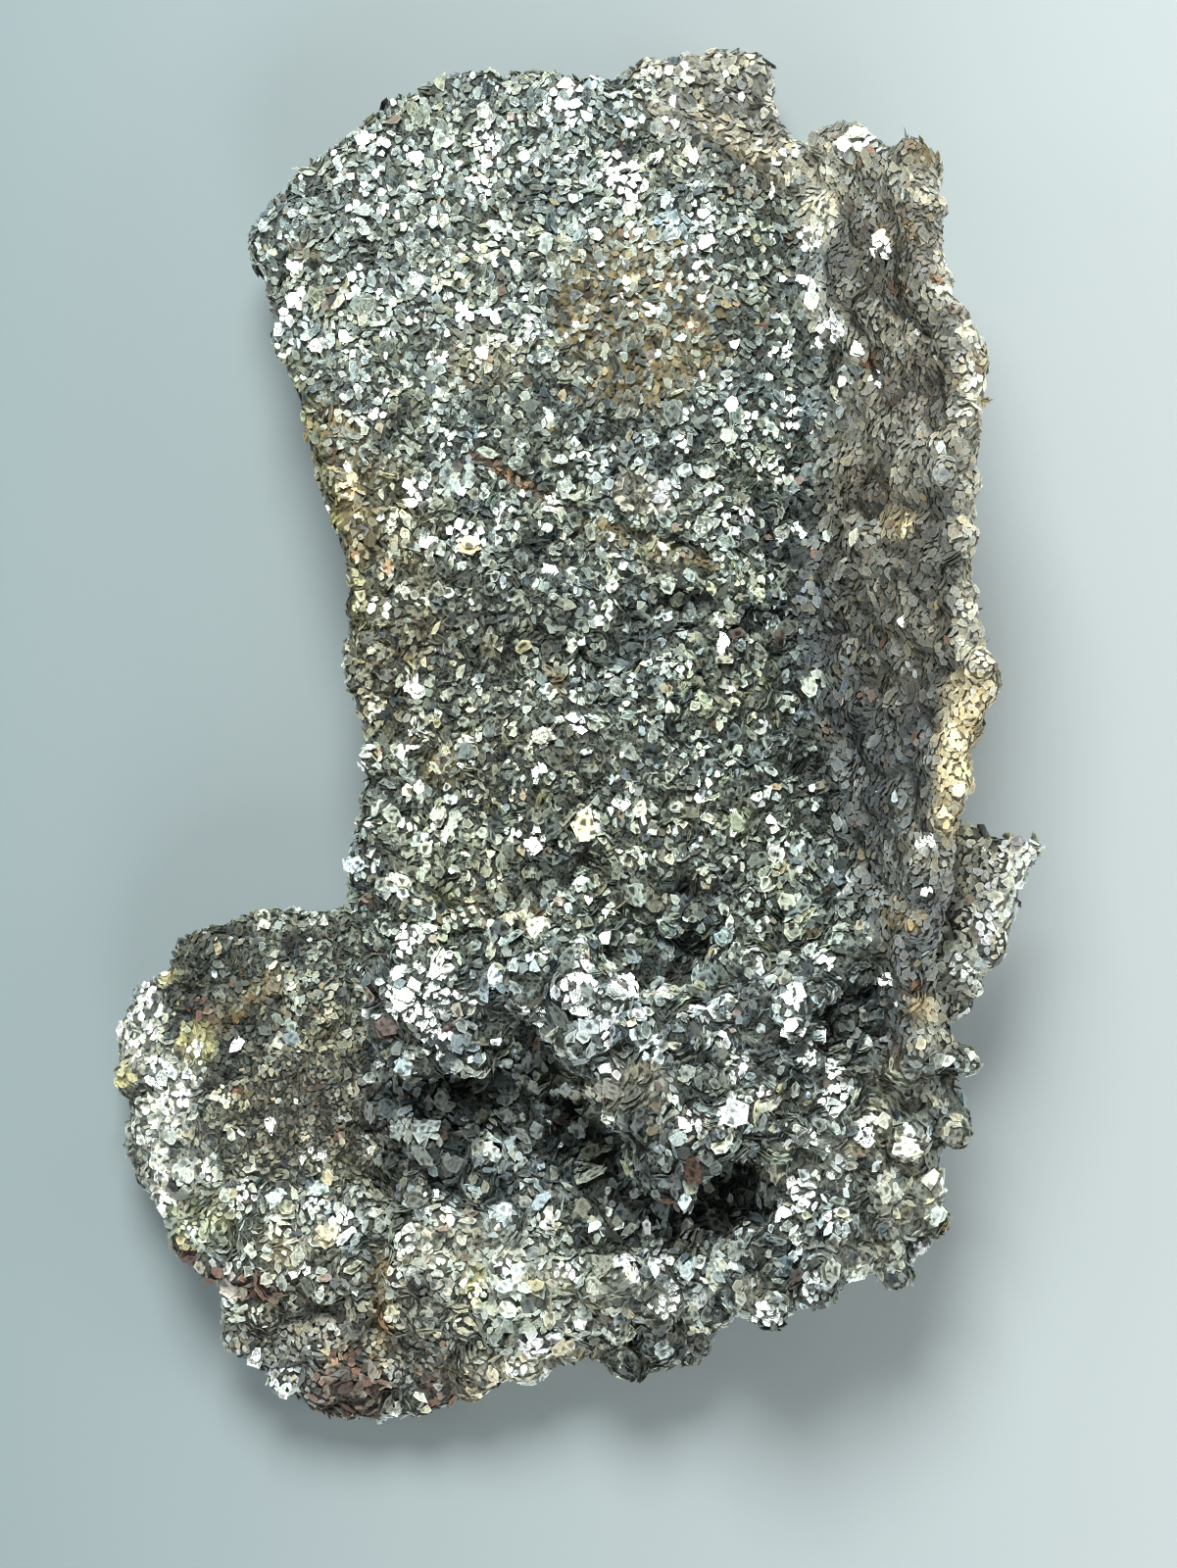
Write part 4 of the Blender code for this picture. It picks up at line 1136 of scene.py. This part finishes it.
def wayToRim(nodes, links, own):
    # 0 in the middle of a scale and 1 all along its rim: the largest of the ways to its sides
    halfSide = math.pi / sides
    reach = None
    for side in range(sides // 2):
        angle = halfSide * (2 * side + 1)
        axis = (math.cos(angle) / math.cos(halfSide), math.sin(angle) / math.cos(halfSide), 0.0)
        way = sums(nodes, links, "ABSOLUTE", vectorSums(nodes, links, "DOT_PRODUCT", own, axis))
        reach = way if reach is None else sums(nodes, links, "MAXIMUM", reach, way)
    return reach


def scaleMaterial():
    look = scaleFinish
    material = bpy.data.materials.new("silvery_scales")
    material.use_nodes = True
    nodes, links = material.node_tree.nodes, material.node_tree.links
    shader = nodes["Principled BSDF"]
    place = addNode(nodes, "TexCoord")
    tint = addNode(nodes, "Attribute", attribute_name="scaleTint")
    pits = addNode(nodes, "Attribute", attribute_name="pits")
    own = addNode(nodes, "UVMap", uv_map="across")
    reach = wayToRim(nodes, links, own.outputs["UV"])
    # streaks along each scale, different from scale to scale through its tint
    parts = addNode(nodes, "SeparateXYZ")
    links.new(own.outputs["UV"], parts.inputs[0])
    red = addNode(nodes, "SeparateColor")
    links.new(tint.outputs["Color"], red.inputs[0])
    stretched = addNode(nodes, "CombineXYZ")
    sources = (parts.outputs["X"], parts.outputs["Y"], red.outputs["Red"])
    for socket, source, stretch in zip(stretched.inputs, sources, look["streaks"]):
        links.new(sums(nodes, links, "MULTIPLY", source, stretch), socket)
    feather = addNode(nodes, "TexNoise", Scale=1.0, Detail=3.0, Roughness=0.6)
    links.new(stretched.outputs["Vector"], feather.inputs["Vector"])
    streaks = mapped(nodes, links, feather.outputs["Fac"], *look["streakEnds"],
                     toMin=1 - look["feather"], toMax=1 + look["feather"])
    # painted highlight: a pale thin rim, and paler lines at the growth steps on the way out, as edges that
    # catch light
    rim = mapped(nodes, links, reach, *look["rim"], soft=True)
    growth = sums(nodes, links, "MULTIPLY_ADD", reach, look["stepsPerScale"], feather.outputs["Fac"])
    step = mapped(nodes, links, sums(nodes, links, "FRACT", growth), *look["step"],
                  toMax=look["stepCover"], soft=True)
    edge = sums(nodes, links, "MAXIMUM", sums(nodes, links, "MULTIPLY", rim, look["rimCover"]), step)
    lighter = mapped(nodes, links, edge, 0.0, 1.0, 1.0, 1 + look["rimHighlight"])
    # painted highlight and painted shade: pale threads round dark pits, as strong as the zone says
    lace = addNode(nodes, "TexVoronoi", feature="DISTANCE_TO_EDGE", Scale=look["laceScale"])
    links.new(place.outputs["Object"], lace.inputs["Vector"])
    threads = mapped(nodes, links, lace.outputs["Distance"], *look["lacePits"],
                     toMin=look["laceLight"] - 1, toMax=look["laceDark"] - 1, soft=True)
    threads = sums(nodes, links, "MULTIPLY", threads, pits.outputs["Fac"])
    shade = sums(nodes, links, "MULTIPLY", streaks, sums(nodes, links, "ADD", threads, 1.0))
    shade = sums(nodes, links, "MULTIPLY", shade, lighter)
    links.new(scaled(nodes, links, tint.outputs["Color"], shade), shader.inputs["Base Color"])
    # shine, least at the rim
    metal = sums(nodes, links, "MULTIPLY", tint.outputs["Alpha"], look["metal"])
    lost = sums(nodes, links, "MULTIPLY", rim, -look["rimDull"])
    links.new(sums(nodes, links, "ADD", metal, lost, use_clamp=True), shader.inputs["Metallic"])
    rough = mapped(nodes, links, tint.outputs["Alpha"], 0.0, 1.0, look["dullRoughness"], look["roughness"])
    links.new(rough, shader.inputs["Roughness"])
    turn = sums(nodes, links, "MULTIPLY", pits.outputs["Fac"], look["glintTurn"])
    _, facing = glint(nodes, links, place, look["glintScale"], turn)
    grain = addNode(nodes, "Bump", Strength=look["bump"], Distance=look["bumpDepth"] * mm)
    links.new(sums(nodes, links, "ADD", feather.outputs["Fac"], edge), grain.inputs["Height"])
    links.new(facing, grain.inputs["Normal"])
    links.new(grain.outputs["Normal"], shader.inputs["Normal"])
    return material


groundFinish = {
    "metal": 0.25,
    "roughness": 0.50,
    "laceScale": 3800,      # small cells between the scales, per metre
    "laceWidth": 0.25,      # painted highlight: pale lines between the cells
    "laceCover": 0.40,
    "pale": linear(150, 156, 142),
    "cellShade": 0.7,       # how much darker and lighter single cells are
    "glintTurn": 0.9,       # how far they turn
}


def crustMaterial():
    look = groundFinish
    material = bpy.data.materials.new("dark_ground")
    material.use_nodes = True
    nodes, links = material.node_tree.nodes, material.node_tree.links
    shader = nodes["Principled BSDF"]
    place = addNode(nodes, "TexCoord")
    tint = addNode(nodes, "Attribute", attribute_name="groundTint")
    cells, facing = glint(nodes, links, place, look["laceScale"], look["glintTurn"])
    # painted highlight: pale lines round the small cells, as fine edges that catch light
    lace = addNode(nodes, "TexVoronoi", feature="DISTANCE_TO_EDGE", Scale=look["laceScale"])
    links.new(place.outputs["Object"], lace.inputs["Vector"])
    line = mapped(nodes, links, lace.outputs["Distance"], 0.0, look["laceWidth"], look["laceCover"], 0.0)
    red = addNode(nodes, "SeparateColor")
    links.new(cells.outputs["Color"], red.inputs[0])
    spread = look["cellShade"]
    shade = mapped(nodes, links, red.outputs["Red"], 0.0, 1.0, 1 - spread, 1 + spread)
    uneven = scaled(nodes, links, tint.outputs["Color"], shade)
    shine = sums(nodes, links, "MULTIPLY", tint.outputs["Alpha"], look["metal"])
    cover = sums(nodes, links, "MULTIPLY", line, tint.outputs["Alpha"])
    links.new(toward(nodes, links, uneven, look["pale"], cover), shader.inputs["Base Color"])
    links.new(shine, shader.inputs["Metallic"])
    shader.inputs["Roughness"].default_value = look["roughness"]
    links.new(facing, shader.inputs["Normal"])
    return material


crustPiece.data.materials.clear()
crustPiece.data.materials.append(crustMaterial())
scaleStuff = scaleMaterial()
for piece in scalePieces:
    piece.data.materials.append(scaleStuff)
print("finishes ready")
